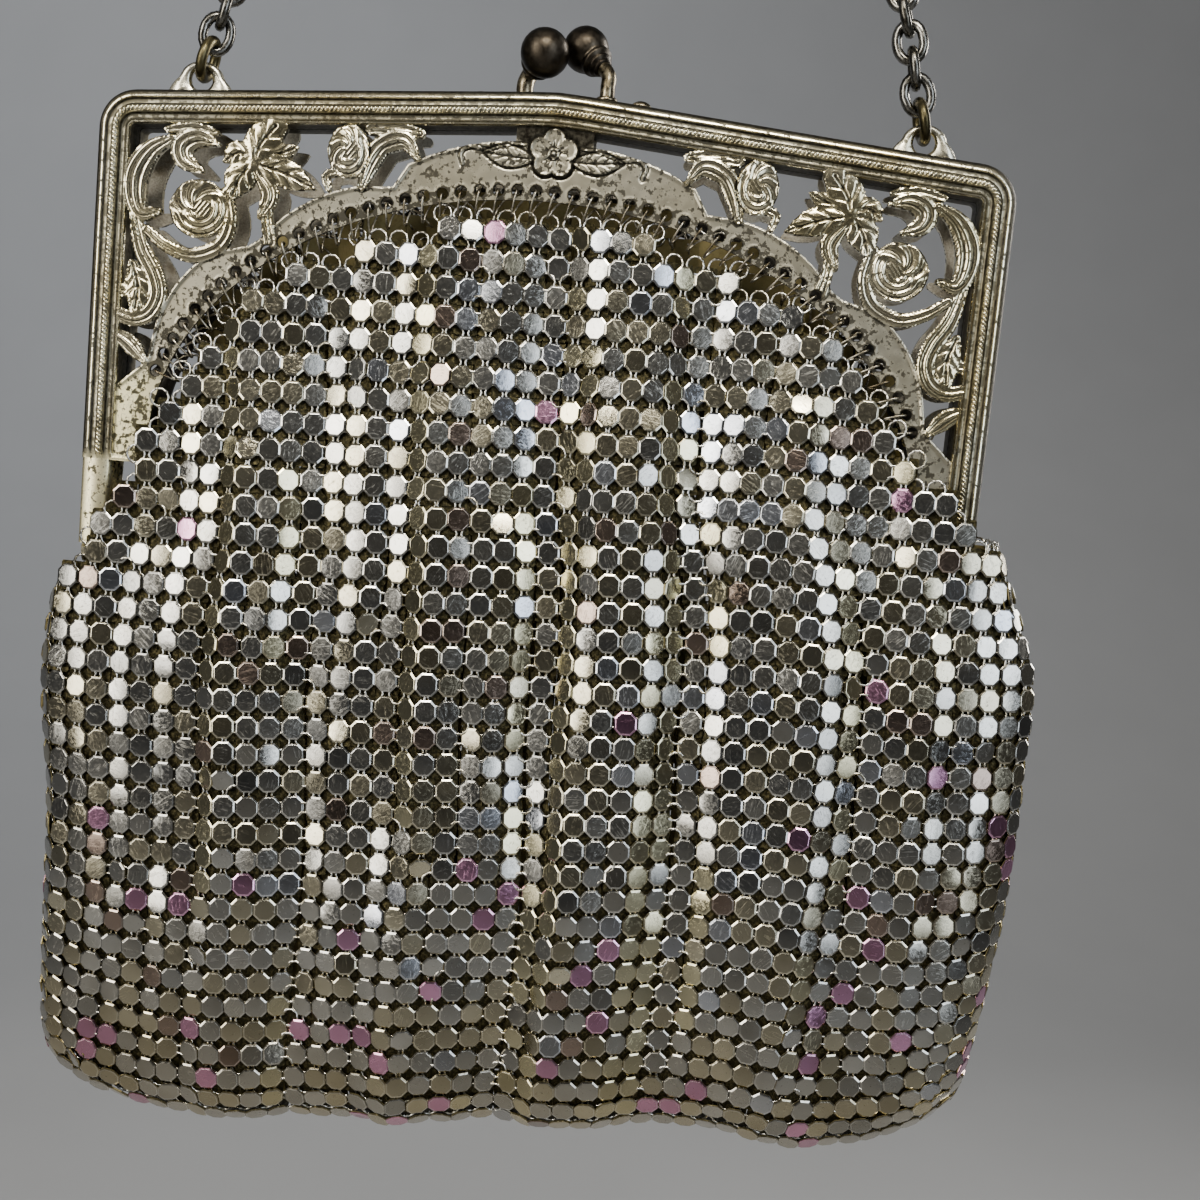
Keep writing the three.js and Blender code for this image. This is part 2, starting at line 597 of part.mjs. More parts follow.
const levelCurve = new THREE.CatmullRomCurve3(
  POUCH_LEVELS.map(({ halfWidth, halfDepth, sway }) => new THREE.Vector3(halfWidth, halfDepth, sway)),
  false, 'catmullrom');

function levelAt(height) {
  const spans = POUCH_LEVELS.length - 1;
  let k = 0;
  while (k + 1 < spans && height < POUCH_LEVELS[k + 1].height) k++;
  const top = POUCH_LEVELS[k].height;
  const share = THREE.MathUtils.clamp((height - top) / (POUCH_LEVELS[k + 1].height - top), 0, 1);
  const mixed = levelCurve.getPoint((k + share) / spans);
  return { halfWidth: mixed.x, halfDepth: mixed.y, sway: mixed.z };
}

function rimHeight(x) {
  const reach = Math.min(Math.abs(x), RIM_SIDE.leaveArch);
  const under = 1 - (reach / (ARCH_HALF_WIDTH - GAP)) ** 2;
  const arch = ARCH_FOOT + (ARCH_RISE - GAP) * Math.sqrt(under);
  const slope = x < 0 ? RIM_SIDE.slopeLeft : RIM_SIDE.slopeRight;
  return arch - slope * (Math.abs(x) - reach);
}

function bottomHeight(across) {
  const x = across * POUCH_LEVELS[0].halfWidth;
  const slant = BOTTOM.slant * Math.min(x, BOTTOM.slantEnd);
  const sag = BOTTOM.sag * smooth(BOTTOM.sagFrom, BOTTOM.sagTo, x);
  return BOTTOM.height + slant - sag + CORNER.rise * Math.abs(across) ** CORNER.power;
}

function foldDepth(x, height) {
  const start = smooth(-FOLD_START, -FOLD_FULL, -height);
  return FOLDS.reduce((sum, f) => sum + f.depth * Math.exp(-(((x - f.at) / f.breadth) ** 2)), 0) * start;
}

// One point of the pouch: across runs from -1 to 1 over the width, down from 0 at the rim to 1 at the bottom,
// face is -1 in front and 1 behind, inset is 0 outside and the wall's thickness inside
function pouchPoint(across, down, face, inset) {
  const rim = rimHeight(across * POUCH_LEVELS[0].halfWidth);
  const bottom = bottomHeight(across);
  const floor = bottom + inset * SEAM.floor;
  const height = rim + (floor - rim) * down;
  const level = levelAt(height);
  const x = level.sway + across * (level.halfWidth - inset);
  const rimX = Math.abs(across) * POUCH_LEVELS[0].halfWidth;
  const rimDepth = RIM.frontDepth + (RIM.sideDepth - RIM.frontDepth) * smooth(RIM.turnFrom, RIM.turnTo, rimX);
  const rimSide = (1 - Math.abs(across) ** RIM.roundness) ** (1 / RIM.roundness);
  const bodySide = (1 - across ** BODY_ROUNDNESS) ** (1 / BODY_ROUNDNESS);
  const above = Math.min(1, (height - bottom) / SEAM.height);
  const rounding = Math.sqrt(Math.max(0, 1 - (1 - above) ** 2));
  const folded = (level.halfDepth - foldDepth(x * -face, height)) * bodySide;
  const settled = smooth(0, RIM.settle, rim - height);
  const depth = (rimDepth * rimSide * (1 - settled) + folded * settled) * rounding;
  const thin = SEAM.halfDepth * bodySide;
  return new THREE.Vector3(x, face * Math.max(thin, depth - inset * Math.min(1, depth / 2)), height);
}

function pouchRing(down, inset) {
  const half = [];
  for (let i = 0; i <= POUCH_COLUMNS; i++) {
    half.push(FLAT_SHARE * ((2 * i) / POUCH_COLUMNS - 1));
  }
  const across = [...SIDE_COLUMNS.map((s) => -s).reverse(), ...half, ...SIDE_COLUMNS];
  const front = across.map((a) => pouchPoint(a, down, -1, inset));
  const back = across.map((a) => pouchPoint(a, down, 1, inset)).reverse();
  const edge = (side) => pouchPoint(side, down, 1, inset).setY(0);
  return [edge(-1), ...front, edge(1), ...back];
}

function pouchGeometry() {
  const outer = POUCH_ROWS.map((down) => pouchRing(down, 0));
  const inner = POUCH_ROWS.map((down) => pouchRing(down, WALL));
  const size = outer[0].length;
  const rows = POUCH_ROWS.length;
  const points = [...outer.flat(), ...inner.flat()];
  const innerStart = rows * size;
  const triangles = [];
  const strip = (a, b, turned) => {
    for (let i = 0; i < size; i++) {
      const j = (i + 1) % size;
      if (turned) triangles.push([a + i, b + j, a + j], [a + i, b + i, b + j]);
      else triangles.push([a + i, a + j, b + j], [a + i, b + j, b + i]);
    }
  };
  const floor = (start, turned) => {
    for (let i = 0; i < size / 2; i++) {
      const front = [start + i, start + i + 1];
      const back = [start + ((size - i) % size), start + size - i - 1];
      const quad = [[front[0], front[1], back[1]], [front[0], back[1], back[0]]];
      for (const [a, b, c] of quad) {
        if (new Set([a, b, c]).size === 3) triangles.push(turned ? [a, c, b] : [a, b, c]);
      }
    }
  };
  for (let r = 0; r + 1 < rows; r++) {
    strip(r * size, (r + 1) * size, false);
    strip(innerStart + r * size, innerStart + (r + 1) * size, true);
  }
  strip(innerStart, 0, false);
  floor((rows - 1) * size, false);
  floor(innerStart + (rows - 1) * size, true);
  return closedGeometry(points, triangles);
}

function piece(name, geometry, material) {
  const mesh = new THREE.Mesh(geometry, new THREE.MeshStandardMaterial(MATERIALS[material]));
  mesh.name = name;
  return mesh;
}

const handbag = new THREE.Group();
const bag = new THREE.Group();
bag.position.z = CORNER_Z;
handbag.add(bag);

const half = frameHalfSolid();
bag.add(piece('frame_front', toGeometry(half), 'silver'));
const lugs = fuse([lugGeometry(LUG_X), lugGeometry(-LUG_X)]);
const backFrame = piece('frame_back', toGeometry(half.add(lugs)), 'silver');
backFrame.rotation.z = Math.PI;
bag.add(backFrame);

for (const [sideName, side] of [['right', 1], ['left', -1]]) {
  const pin = piece(`hinge_pin_${sideName}`, hingePinGeometry(), 'silver');
  pin.position.z = HINGE_HEIGHT;
  pin.rotation.z = side > 0 ? 0 : Math.PI;
  bag.add(pin);

  const up = new THREE.Vector3(-side * Math.sin(CHAIN_LEAN), 0, Math.cos(CHAIN_LEAN));
  const through = new THREE.Vector3(0, 1, 0);
  const basis = new THREE.Matrix4().makeBasis(through, up, new THREE.Vector3().crossVectors(through, up));
  const torus = new THREE.TorusGeometry(RING_RADIUS, RING_WIRE, RING_SIDES, RING_STEPS);
  const ring = piece(`jump_ring_${sideName}`, torus, 'bronze');
  ring.quaternion.setFromRotationMatrix(basis);
  ring.position.set(side * LUG_X, CHAIN_Y, RING_BOTTOM).addScaledVector(up, RING_RADIUS);
  bag.add(ring);
}

for (const clasp of CLASPS) {
  bag.add(piece(`clasp_${clasp.half}`, toGeometry(claspSolid(clasp)), 'gunmetal'));
  const rivet = piece(`clasp_rivet_${clasp.half}`, rivetGeometry(), 'gunmetal');
  rivet.position.set(clasp.side * RIVET_X, -clasp.side * POST_DEPTH, railTop(RIVET_X) + GAP);
  rivet.rotation.y = clasp.side * GABLE_SLOPE;
  bag.add(rivet);
}

bag.add(piece('mesh_pouch', pouchGeometry(), 'scales'));
handbag.add(piece('chain_handle', chainGeometry(), 'steel'));

export default handbag;
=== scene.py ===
"""Looks of a metal mesh frame handbag: linked scales, a pierced silver frame, a ball clasp and a chain.

Shapes are worked out in millimetres: x to the right, y to the back, and heights from the frame's outer
top corners, as in the part's source. to_metres() takes them into the part's frame.
"""

import math

import bmesh
import bpy
import numpy as np
from mathutils import Matrix, Vector
from mathutils.geometry import tessellate_polygon


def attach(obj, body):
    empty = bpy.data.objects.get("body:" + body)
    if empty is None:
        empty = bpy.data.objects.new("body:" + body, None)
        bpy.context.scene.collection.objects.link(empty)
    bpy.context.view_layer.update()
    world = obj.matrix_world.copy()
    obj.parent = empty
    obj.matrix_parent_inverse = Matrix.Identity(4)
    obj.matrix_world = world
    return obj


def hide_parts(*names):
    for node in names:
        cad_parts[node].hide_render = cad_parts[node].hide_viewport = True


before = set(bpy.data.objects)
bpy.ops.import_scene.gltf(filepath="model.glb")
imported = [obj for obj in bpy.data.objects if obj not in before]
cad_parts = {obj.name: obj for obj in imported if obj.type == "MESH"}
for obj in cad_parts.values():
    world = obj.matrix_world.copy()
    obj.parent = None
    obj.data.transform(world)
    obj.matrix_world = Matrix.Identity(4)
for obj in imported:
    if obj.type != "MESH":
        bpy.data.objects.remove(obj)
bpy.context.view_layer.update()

# Sizes shared with the part's source
GAP = 0.3
FRAME_HALF_WIDTH = 63.5
GABLE_RISE = 5.0
GABLE_SLOPE = math.atan2(GABLE_RISE, FRAME_HALF_WIDTH)
CORNER_RADIUS = 5.5
RAIL_END = -51.0
RAIL_WIDTH = 4.9
PLATE_FRONT = 3.4
ARCH_HALF_WIDTH = 54.0
ARCH_RISE = 38.5
ARCH_FOOT = -48.5
END_TOP, END_FOOT, END_FRONT, END_INNER = -50.0, -61.0, 3.0, 58.9
HINGE_HEIGHT = -64.5
LUG_X = 50.5
LUG_HALF_BASE = 3.9
LUG_RADIUS = 2.4
LUG_HOLE_RADIUS = 1.55
LUG_HOLE_HEIGHT = 2.95
LUG_FRONT, LUG_BACK = 1.7, 0.3
RING_RADIUS = 2.6
RING_WIRE = 0.75
RING_BOTTOM = 3.3
CHAIN_Y = (LUG_FRONT + LUG_BACK) / 2
CHAIN_LEAN = math.radians(15)
CHAIN_RADIUS = 2.3
CHAIN_BEND = 12.0
POST_DEPTH = 1.25
RIVET_X = 11.3

# Where the chain puts the bag
RING_REACH = 2 * RING_RADIUS + RING_WIRE + GAP
CHAIN_END_X = LUG_X - RING_REACH * math.sin(CHAIN_LEAN)
LEG_TOP_X = CHAIN_BEND * math.cos(CHAIN_LEAN)
BEND_CENTRE = CHAIN_RADIUS - CHAIN_BEND
LEG_TOP_Z = BEND_CENTRE + CHAIN_BEND * math.sin(CHAIN_LEAN)
LEG_LENGTH = (CHAIN_END_X - LEG_TOP_X) / math.sin(CHAIN_LEAN)
CHAIN_END_Z = LEG_TOP_Z - LEG_LENGTH * math.cos(CHAIN_LEAN)
CORNER_Z = CHAIN_END_Z - RING_BOTTOM - RING_REACH * math.cos(CHAIN_LEAN)


# Small tools
def to_metres(points):
    """Places in the bag, in millimetres, as metres in the part's frame."""
    placed = np.array(points, float).reshape(-1, 3) * 0.001
    placed[:, 2] += CORNER_Z * 0.001
    return placed


def smooth(low, high, value):
    """Soft step from 0 at low to 1 at high."""
    share = np.clip((np.asarray(value, float) - low) / (high - low), 0, 1)
    return share * share * (3 - 2 * share)


def hump(value, centre, width):
    """One at the centre, falling off softly to both sides."""
    return np.exp(-((value - centre) / width) ** 2)


def unit(vectors):
    """Vectors brought to length one."""
    vectors = np.asarray(vectors, float)
    return vectors / np.maximum(np.linalg.norm(vectors, axis=-1, keepdims=True), 1e-12)


def full_turn(count):
    """Even angles once round."""
    return np.arange(count) * 2 * math.pi / count


def circle(angles, side, other):
    """Directions at angles from one side towards the other."""
    return np.cos(angles)[:, None] * side + np.sin(angles)[:, None] * other


def lengths(path):
    """Way along a path to each of its points."""
    return np.concatenate([[0], np.cumsum(np.linalg.norm(np.diff(path, axis=0), axis=1))])


def points_at(at, length, path):
    """Places on a path at given ways along it."""
    return np.stack([np.interp(at, length, column) for column in np.asarray(path).T], 1)


def rounded(share, here, there, leave, arrive):
    """Smooth run from here to there, with given slopes at both ends."""
    square, cube = share ** 2, share ** 3
    return ((2 * cube - 3 * square + 1) * here + (cube - 2 * square + share) * leave
            + (3 * square - 2 * cube) * there + (cube - square) * arrive)


def catmull(points, count):
    """A smooth line through points, with count steps from each to the next."""
    points = np.asarray(points, float)
    around = np.vstack([2 * points[0] - points[1], points, 2 * points[-1] - points[-2]])
    line = []
    for k in range(len(points) - 1):
        before, here, there, after = around[k:k + 4]
        for share in np.linspace(0, 1, count, endpoint=False):
            line.append(rounded(share, here, there, (there - before) / 2, (after - here) / 2))
    return np.array(line + [points[-1]])


def rail_top(x):
    """Height of the gabled rail's upper edge."""
    return GABLE_RISE - abs(x) * math.tan(GABLE_SLOPE)


def join(parts):
    """Several (points, faces) as one."""
    points, faces, start = [], [], 0
    for part_points, part_faces in parts:
        points.append(np.asarray(part_points, float).reshape(-1, 3))
        faces += [tuple(i + start for i in face) for face in part_faces]
        start += len(points[-1])
    return np.concatenate(points), faces


def turned_round(part):
    """The same shape turned half round the upright axis, as the back half of the frame is."""
    points, faces = part
    return np.asarray(points, float) * (-1, -1, 1), faces


def tube(path, radius, sides, closed=False):
    """A round wire along a path."""
    path = np.asarray(path, float)
    ahead = np.roll(path, -1, 0) - np.roll(path, 1, 0)
    if not closed:
        ahead[0] = path[1] - path[0]
        ahead[-1] = path[-1] - path[-2]
    ahead = unit(ahead)
    side = unit(np.cross(ahead[0], (0.31, 0.52, 0.79)))
    rings = []
    for place, way, size in zip(path, ahead, np.broadcast_to(radius, len(path))):
        side = unit(side - way * side.dot(way))
        rings.append(place + size * circle(full_turn(sides), side, np.cross(way, side)))
    return shell(rings, closed)


def lathe(profile, origin, axis, segments):
    """A turned shape: profile rows are radius and way along the axis, from the back to the front."""
    axis = unit(axis)
    side = unit(np.cross(axis, (0.2, 0.9, 0.37)))
    ring = circle(full_turn(segments), side, np.cross(axis, side))
    return shell([np.asarray(origin) + axis * along + max(radius, 1e-3) * ring for radius, along in profile])


def shell(rings, closed=False):
    """A skin through rings of equal length, closed on itself or with both ends capped."""
    count, size = len(rings), len(rings[0])
    faces = []
    for r in range(count if closed else count - 1):
        a, b = r * size, (r + 1) % count * size
        faces += [(a + i, a + (i + 1) % size, b + (i + 1) % size, b + i) for i in range(size)]
    if not closed:
        faces.append(tuple(reversed(range(size))))
        faces.append(tuple((count - 1) * size + i for i in range(size)))
    return np.concatenate([np.asarray(r, float) for r in rings]), faces


def set_mark(mesh, mark, values, kind="FLOAT", field="value"):
    """A value on each point of a mesh, for its finish or its copies."""
    mesh.attributes.new(mark, kind, "POINT").data.foreach_set(field, np.asarray(values, np.float32).ravel())


def new_mesh(name, points, faces, marks):
    """A smooth mesh from places in metres."""
    mesh = bpy.data.meshes.new(name)
    mesh.from_pydata(points.tolist(), [], faces)
    for mark, values in marks.items():
        set_mark(mesh, mark, values)
    mesh.polygons.foreach_set("use_smooth", [True] * len(mesh.polygons))
    mesh.update()
    return mesh


def make_mesh(name, part, finish, **marks):
    """A piece's mesh from places in the bag."""
    points, faces = part
    mesh = new_mesh(name, to_metres(points), faces, marks)
    mesh.materials.append(finish)
    return mesh


def pattern_mesh(name, part, **marks):
    """A pattern for copies, about its own origin."""
    points, faces = part
    return new_mesh(name, np.asarray(points) * 0.001, faces, marks)


def ride_along(mesh, slot, *nodes):
    """Puts a finished mesh in the scene as a piece of the bag, under its root, and hides the parts it stands
    for.
    """
    piece = bpy.data.objects.new(mesh.name, mesh)
    bpy.context.scene.collection.objects.link(piece)
    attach(piece, "root")
    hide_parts(*nodes)


def face_out(mesh):
    """Turns all faces of closed shells outwards."""
    work = bmesh.new()
    work.from_mesh(mesh)
    bmesh.ops.recalc_face_normals(work, faces=work.faces)
    work.to_mesh(mesh)
    work.free()
    mesh.update()


# Finishes
def feed(tree, value, socket):
    """Links an output to a socket, or sets the socket's own value."""
    if hasattr(value, "is_output"):
        tree.links.new(value, socket)
    else:
        socket.default_value = value


def add_node(tree, kind, inputs=None, **settings):
    """A new node with its settings and inputs."""
    node = tree.nodes.new(kind)
    for setting, value in settings.items():
        setattr(node, setting, value)
    for socket, value in (inputs or {}).items():
        feed(tree, value, node.inputs[socket])
    return node


def new_finish(name):
    """An empty finish, and the wiring for it with places in millimetres."""
    finish = bpy.data.materials.new(name)
    finish.use_nodes = True
    tree = finish.node_tree
    where = add_node(tree, "ShaderNodeTexCoord").outputs["Object"]
    millimetres = add_node(tree, "ShaderNodeMapping", {"Vector": where, "Scale": (1000, 1000, 1000)})
    return finish, Wiring(tree, millimetres.outputs["Vector"])


class Wiring:
    """Short ways to add the nodes that the finishes use."""

    def __init__(self, tree, place):
        self.tree = tree
        self.place = place

    def node(self, kind, inputs=None, **settings):
        return add_node(self.tree, "ShaderNode" + kind, inputs, **settings)

    def noise(self, scale, detail=3.0, rough=0.5, place=None, stretch=None):
        place = place or self.place
        if stretch:
            place = self.node("Mapping", {"Vector": place, "Scale": stretch}).outputs["Vector"]
        inputs = {"Vector": place, "Scale": scale, "Detail": detail, "Roughness": rough}
        return self.node("TexNoise", inputs).outputs["Fac"]

    def span(self, value, low, high, to_low=0.0, to_high=1.0):
        inputs = {"Value": value, "From Min": low, "From Max": high, "To Min": to_low, "To Max": to_high}
        return self.node("MapRange", inputs, interpolation_type="SMOOTHSTEP").outputs["Result"]

    def combine(self, kind, a, b):
        return self.node("Math", {0: a, 1: b}, operation=kind, use_clamp=True).outputs["Value"]

    def times(self, a, b):
        return self.combine("MULTIPLY", a, b)

    def plus(self, a, b):
        return self.combine("ADD", a, b)

    def most(self, a, b):
        return self.combine("MAXIMUM", a, b)

    def blend(self, share, a, b, kind="MIX"):
        a, b = (c if hasattr(c, "is_output") else (*c, 1) for c in (a, b))
        inputs = {"Factor": share, 6: a, 7: b}
        return self.node("Mix", inputs, data_type="RGBA", blend_type=kind).outputs[2]

    def mark(self, name, output="Fac"):
        return self.node("Attribute", attribute_name=name).outputs[output]

    def bump(self, height, strength, distance, below=None):
        inputs = {"Strength": strength, "Distance": distance * 0.001, "Height": height}
        if below is not None:
            inputs["Normal"] = below
        return self.node("Bump", inputs).outputs["Normal"]

    def coat(self, colour, roughness, normal=None, metallic=1.0):
        """Brings what a finish has worked out to its shader."""
        shader = self.tree.nodes["Principled BSDF"].inputs
        feed(self.tree, colour, shader["Base Color"])
        feed(self.tree, roughness, shader["Roughness"])
        shader["Metallic"].default_value = metallic
        if normal is not None:
            feed(self.tree, normal, shader["Normal"])


def silver_plate(name, bright, yellowed, stain, roughness, blackened):
    """Worn silver plate: yellowed in patches, black with tarnish in hollows and with painted shade on shaded
    parts, painted darker on plain flat parts, specked, scratched where it is rubbed.
    """
    finish, wire = new_finish(name)
    hollow, rubbed, plain = wire.mark("hollow"), wire.mark("rubbed"), wire.mark("plain")
    metal = wire.blend(wire.span(wire.noise(0.09, 4), 0.35, 0.68), bright, yellowed)
    cloud = wire.span(wire.noise(0.22, 3), 0.48, 0.72)
    metal = wire.blend(wire.times(cloud, 0.3), metal, (0.36, 0.32, 0.22))
    # Painted shade: plain flat parts are blended towards a darker tone that stands in for their dim
    # reflection.
    metal = wire.blend(wire.times(plain, 0.75), metal, (0.47, 0.445, 0.365))
    metal = wire.blend(rubbed, metal, (1.0, 0.92, 0.58))
    along = wire.noise(1.7, 3, 0.6, stretch=(1.0, 1.0, 7.0))
    aslant = wire.noise(1.3, 3, 0.6, stretch=(5.0, 1.0, 0.6))
    scratch = wire.most(wire.span(along, 0.6, 0.66), wire.span(aslant, 0.6, 0.66))
    ragged = wire.span(wire.noise(1.6, 5, 0.7), 0.25, 0.7, blackened, 1.0)
    grime = wire.plus(wire.noise(1.25, 3, 0.6), wire.times(hollow, 0.22))
    grime = wire.plus(grime, wire.times(plain, 0.045))
    specks = wire.times(wire.span(grime, 0.595, 0.65), stain)
    grime = wire.plus(wire.noise(0.5, 5, 0.75), wire.times(hollow, 0.2))
    specks = wire.most(specks, wire.times(wire.span(grime, 0.58, 0.64), stain))
    # Tarnish and painted shade: near black with tarnish in hollows and chased lines, and as painted shade on
    # the rail's outer side and roll, under the rope twists, round the eyelets and near the mouth.
    dark = wire.most(wire.times(wire.span(hollow, 0.12, 0.7), ragged), specks)
    dark = wire.most(dark, wire.times(wire.times(scratch, rubbed), 0.55))
    sheen = wire.span(wire.noise(0.8, 3), 0.3, 0.75, roughness, roughness + 0.05)
    sheen = wire.plus(sheen, wire.most(wire.times(plain, 0.19), wire.times(rubbed, 0.3)))
    wire.coat(wire.blend(dark, metal, (0.012, 0.010, 0.007)), wire.plus(sheen, wire.times(dark, 0.4)),
              wire.bump(specks, -0.08, 0.05, wire.bump(along, 0.03, 0.03)))
    return finish


def raw_back():
    """Unpolished inner side of the stampings: matte, grainy, grey to beige, with painted shade near the
    mouth.
    """
    finish, wire = new_finish("raw inner side")
    grain = wire.span(wire.noise(3.2, 5, 0.7), 0.3, 0.7)
    metal = wire.blend(grain, (0.34, 0.31, 0.25), (0.60, 0.56, 0.47))
    metal = wire.blend(wire.span(wire.noise(0.3, 4), 0.5, 0.75), metal, (0.18, 0.15, 0.10))
    # Painted shade: near black where the back is marked as shaded, near the mouth.
    metal = wire.blend(wire.span(wire.mark("hollow"), 0.2, 0.8), metal, (0.015, 0.012, 0.008))
    wire.coat(metal, wire.span(wire.noise(2.0, 3), 0.3, 0.7, 0.5, 0.68), wire.bump(grain, 0.35, 0.1), 0.55)
    return finish


def scale_plate():
    """Flat bright scales: each with its own tint (in places a painted reflection), scratches along its own
    grain, specks, a painted highlight on the bevel, brass behind with painted shade in the gaps.
    """
    finish, wire = new_finish("bright scales")
    turn = wire.node("VectorRotate", {"Vector": wire.place, "Angle": wire.mark("grain")},
                     rotation_type="Y_AXIS").outputs["Vector"]
    scratch = wire.noise(4.0, 3, 0.6, turn, (1.0, 1.0, 0.1))
    lines = wire.span(scratch, 0.56, 0.64)
    mottle = wire.noise(2.2, 4, 0.7)
    specks = wire.span(mottle, 0.62, 0.7)
    # Painted highlight: the bevel ring is blended towards a pale colour.
    edge = wire.span(wire.mark("inner"), -0.6, -0.85)
    cloud = wire.span(wire.noise(0.16, 3), 0.35, 0.7)
    metal = wire.blend(wire.times(cloud, 0.3), wire.mark("tint", "Color"), (0.56, 0.52, 0.42), "MULTIPLY")
    metal = wire.blend(wire.times(specks, 0.6), metal, (0.10, 0.085, 0.06))
    metal = wire.blend(wire.times(edge, 0.3), metal, (0.86, 0.84, 0.77))
    inside = wire.span(wire.mark("inner"), 0.15, 0.45)
    # Painted shade: the skirt's foot and the front of the brass plate, seen in the gaps between scales, go
    # near black in patches.
    patchy = wire.span(wire.noise(2.6, 3, 0.6), 0.45, 0.66, 0.97, 0.7)
    gap_shade = wire.times(wire.span(wire.mark("inner"), 0.6, 0.95), patchy)
    brass = wire.blend(gap_shade, (0.30, 0.25, 0.115), (0.020, 0.018, 0.010))
    worn = wire.plus(wire.span(wire.mark("grain"), 0.0, 6.28, 0.06, 0.17), wire.times(lines, 0.12))
    worn = wire.plus(worn, wire.span(mottle, 0.4, 0.65, 0.0, 0.1))
    worn = wire.plus(worn, wire.times(edge, 0.1))
    normal = wire.bump(mottle, 0.07, 0.03, wire.bump(scratch, 0.08, 0.02))
    wire.coat(wire.blend(inside, metal, brass), wire.plus(worn, wire.times(inside, 0.45)),
              wire.bump(wire.noise(0.45, 2), 0.025, 0.2, normal))
    return finish


def wire_metal(name, bright, dull, roughness, patchy):
    """Drawn wire and turned metal: dull in patches, rubbed bright, with faint draw lines."""
    finish, wire = new_finish(name)
    patch = wire.span(wire.noise(patchy, 5, 0.62), 0.38, 0.66)
    wire.coat(wire.blend(patch, bright, dull),
              wire.span(wire.noise(2.0, 4), 0.3, 0.75, roughness, roughness + 0.22),
              wire.bump(wire.noise(1.6, 4, 0.6), 0.08, 0.06))
    return finish


FRAME_SILVER = silver_plate("frame silver", (0.85, 0.78, 0.56), (0.71, 0.62, 0.37), 0.88, 0.14, 0.87)
RAIL_SILVER = silver_plate("rail silver", (1.0, 0.94, 0.71), (0.92, 0.81, 0.52), 0.85, 0.15, 0.9)
LUG_SILVER = silver_plate("lug silver", (0.90, 0.87, 0.76), (0.78, 0.72, 0.54), 0.8, 0.2, 0.6)
RAW_BACK = raw_back()
SCALE_SILVER = scale_plate()
RING_SILVER = wire_metal("mesh ring silver", (0.80, 0.78, 0.72), (0.50, 0.46, 0.35), 0.15, 0.25)
LACING = wire_metal("lacing wire", (0.50, 0.46, 0.37), (0.16, 0.13, 0.08), 0.22, 0.4)
CHAIN_STEEL = wire_metal("chain steel", (0.27, 0.26, 0.235), (0.07, 0.064, 0.05), 0.16, 0.35)
JUMP_BRONZE = wire_metal("jump ring bronze", (0.135, 0.115, 0.06), (0.05, 0.043, 0.022), 0.28, 0.3)
CLASP_DARK = wire_metal("clasp gunmetal", (0.066, 0.055, 0.041), (0.026, 0.021, 0.016), 0.3, 0.3)
POST_SILVER = wire_metal("clasp post", (0.44, 0.38, 0.26), (0.09, 0.073, 0.045), 0.22, 0.3)


# Copies on places, by geometry nodes
def scatter_tree(name, seed):
    """Puts one pattern on every place, turned as the place says, with a little chance tilt."""
    tree = bpy.data.node_groups.new(name, "GeometryNodeTree")
    for label, kind in (("Places", "Geometry"), ("Pattern", "Object"), ("Size", "Float"), ("Wobble", "Float"),
                        ("Finish", "Material")):
        tree.interface.new_socket(label, in_out="INPUT", socket_type="NodeSocket" + kind)
    tree.interface.new_socket("Copies", in_out="OUTPUT", socket_type="NodeSocketGeometry")
    given = add_node(tree, "NodeGroupInput").outputs
    turn = add_node(tree, "GeometryNodeInputNamedAttribute", {"Name": "turn"}, data_type="QUATERNION")
    spread = add_node(tree, "ShaderNodeCombineXYZ", {axis: given["Wobble"] for axis in "XYZ"})
    spread = spread.outputs["Vector"]
    back = add_node(tree, "ShaderNodeVectorMath", {0: spread, "Scale": -1}, operation="SCALE")
    chance = add_node(tree, "FunctionNodeRandomValue", {0: back.outputs["Vector"], 1: spread, "Seed": seed},
                      data_type="FLOAT_VECTOR")
    euler = add_node(tree, "FunctionNodeEulerToRotation", {0: chance.outputs[0]})
    tilt = add_node(tree, "FunctionNodeRotateRotation",
                    {"Rotation": turn.outputs["Attribute"], "Rotate By": euler.outputs[0]},
                    rotation_space="LOCAL")
    pattern = add_node(tree, "GeometryNodeObjectInfo", {"Object": given["Pattern"]})
    copies = add_node(tree, "GeometryNodeInstanceOnPoints",
                      {"Points": given["Places"], "Instance": pattern.outputs["Geometry"],
                       "Rotation": tilt.outputs["Rotation"], "Scale": given["Size"]})
    real = add_node(tree, "GeometryNodeRealizeInstances", {"Geometry": copies.outputs["Instances"]})
    paint = add_node(tree, "GeometryNodeSetMaterial",
                     {"Geometry": real.outputs["Geometry"], "Material": given["Finish"]})
    add_node(tree, "NodeGroupOutput", {"Copies": paint.outputs["Geometry"]})
    return tree


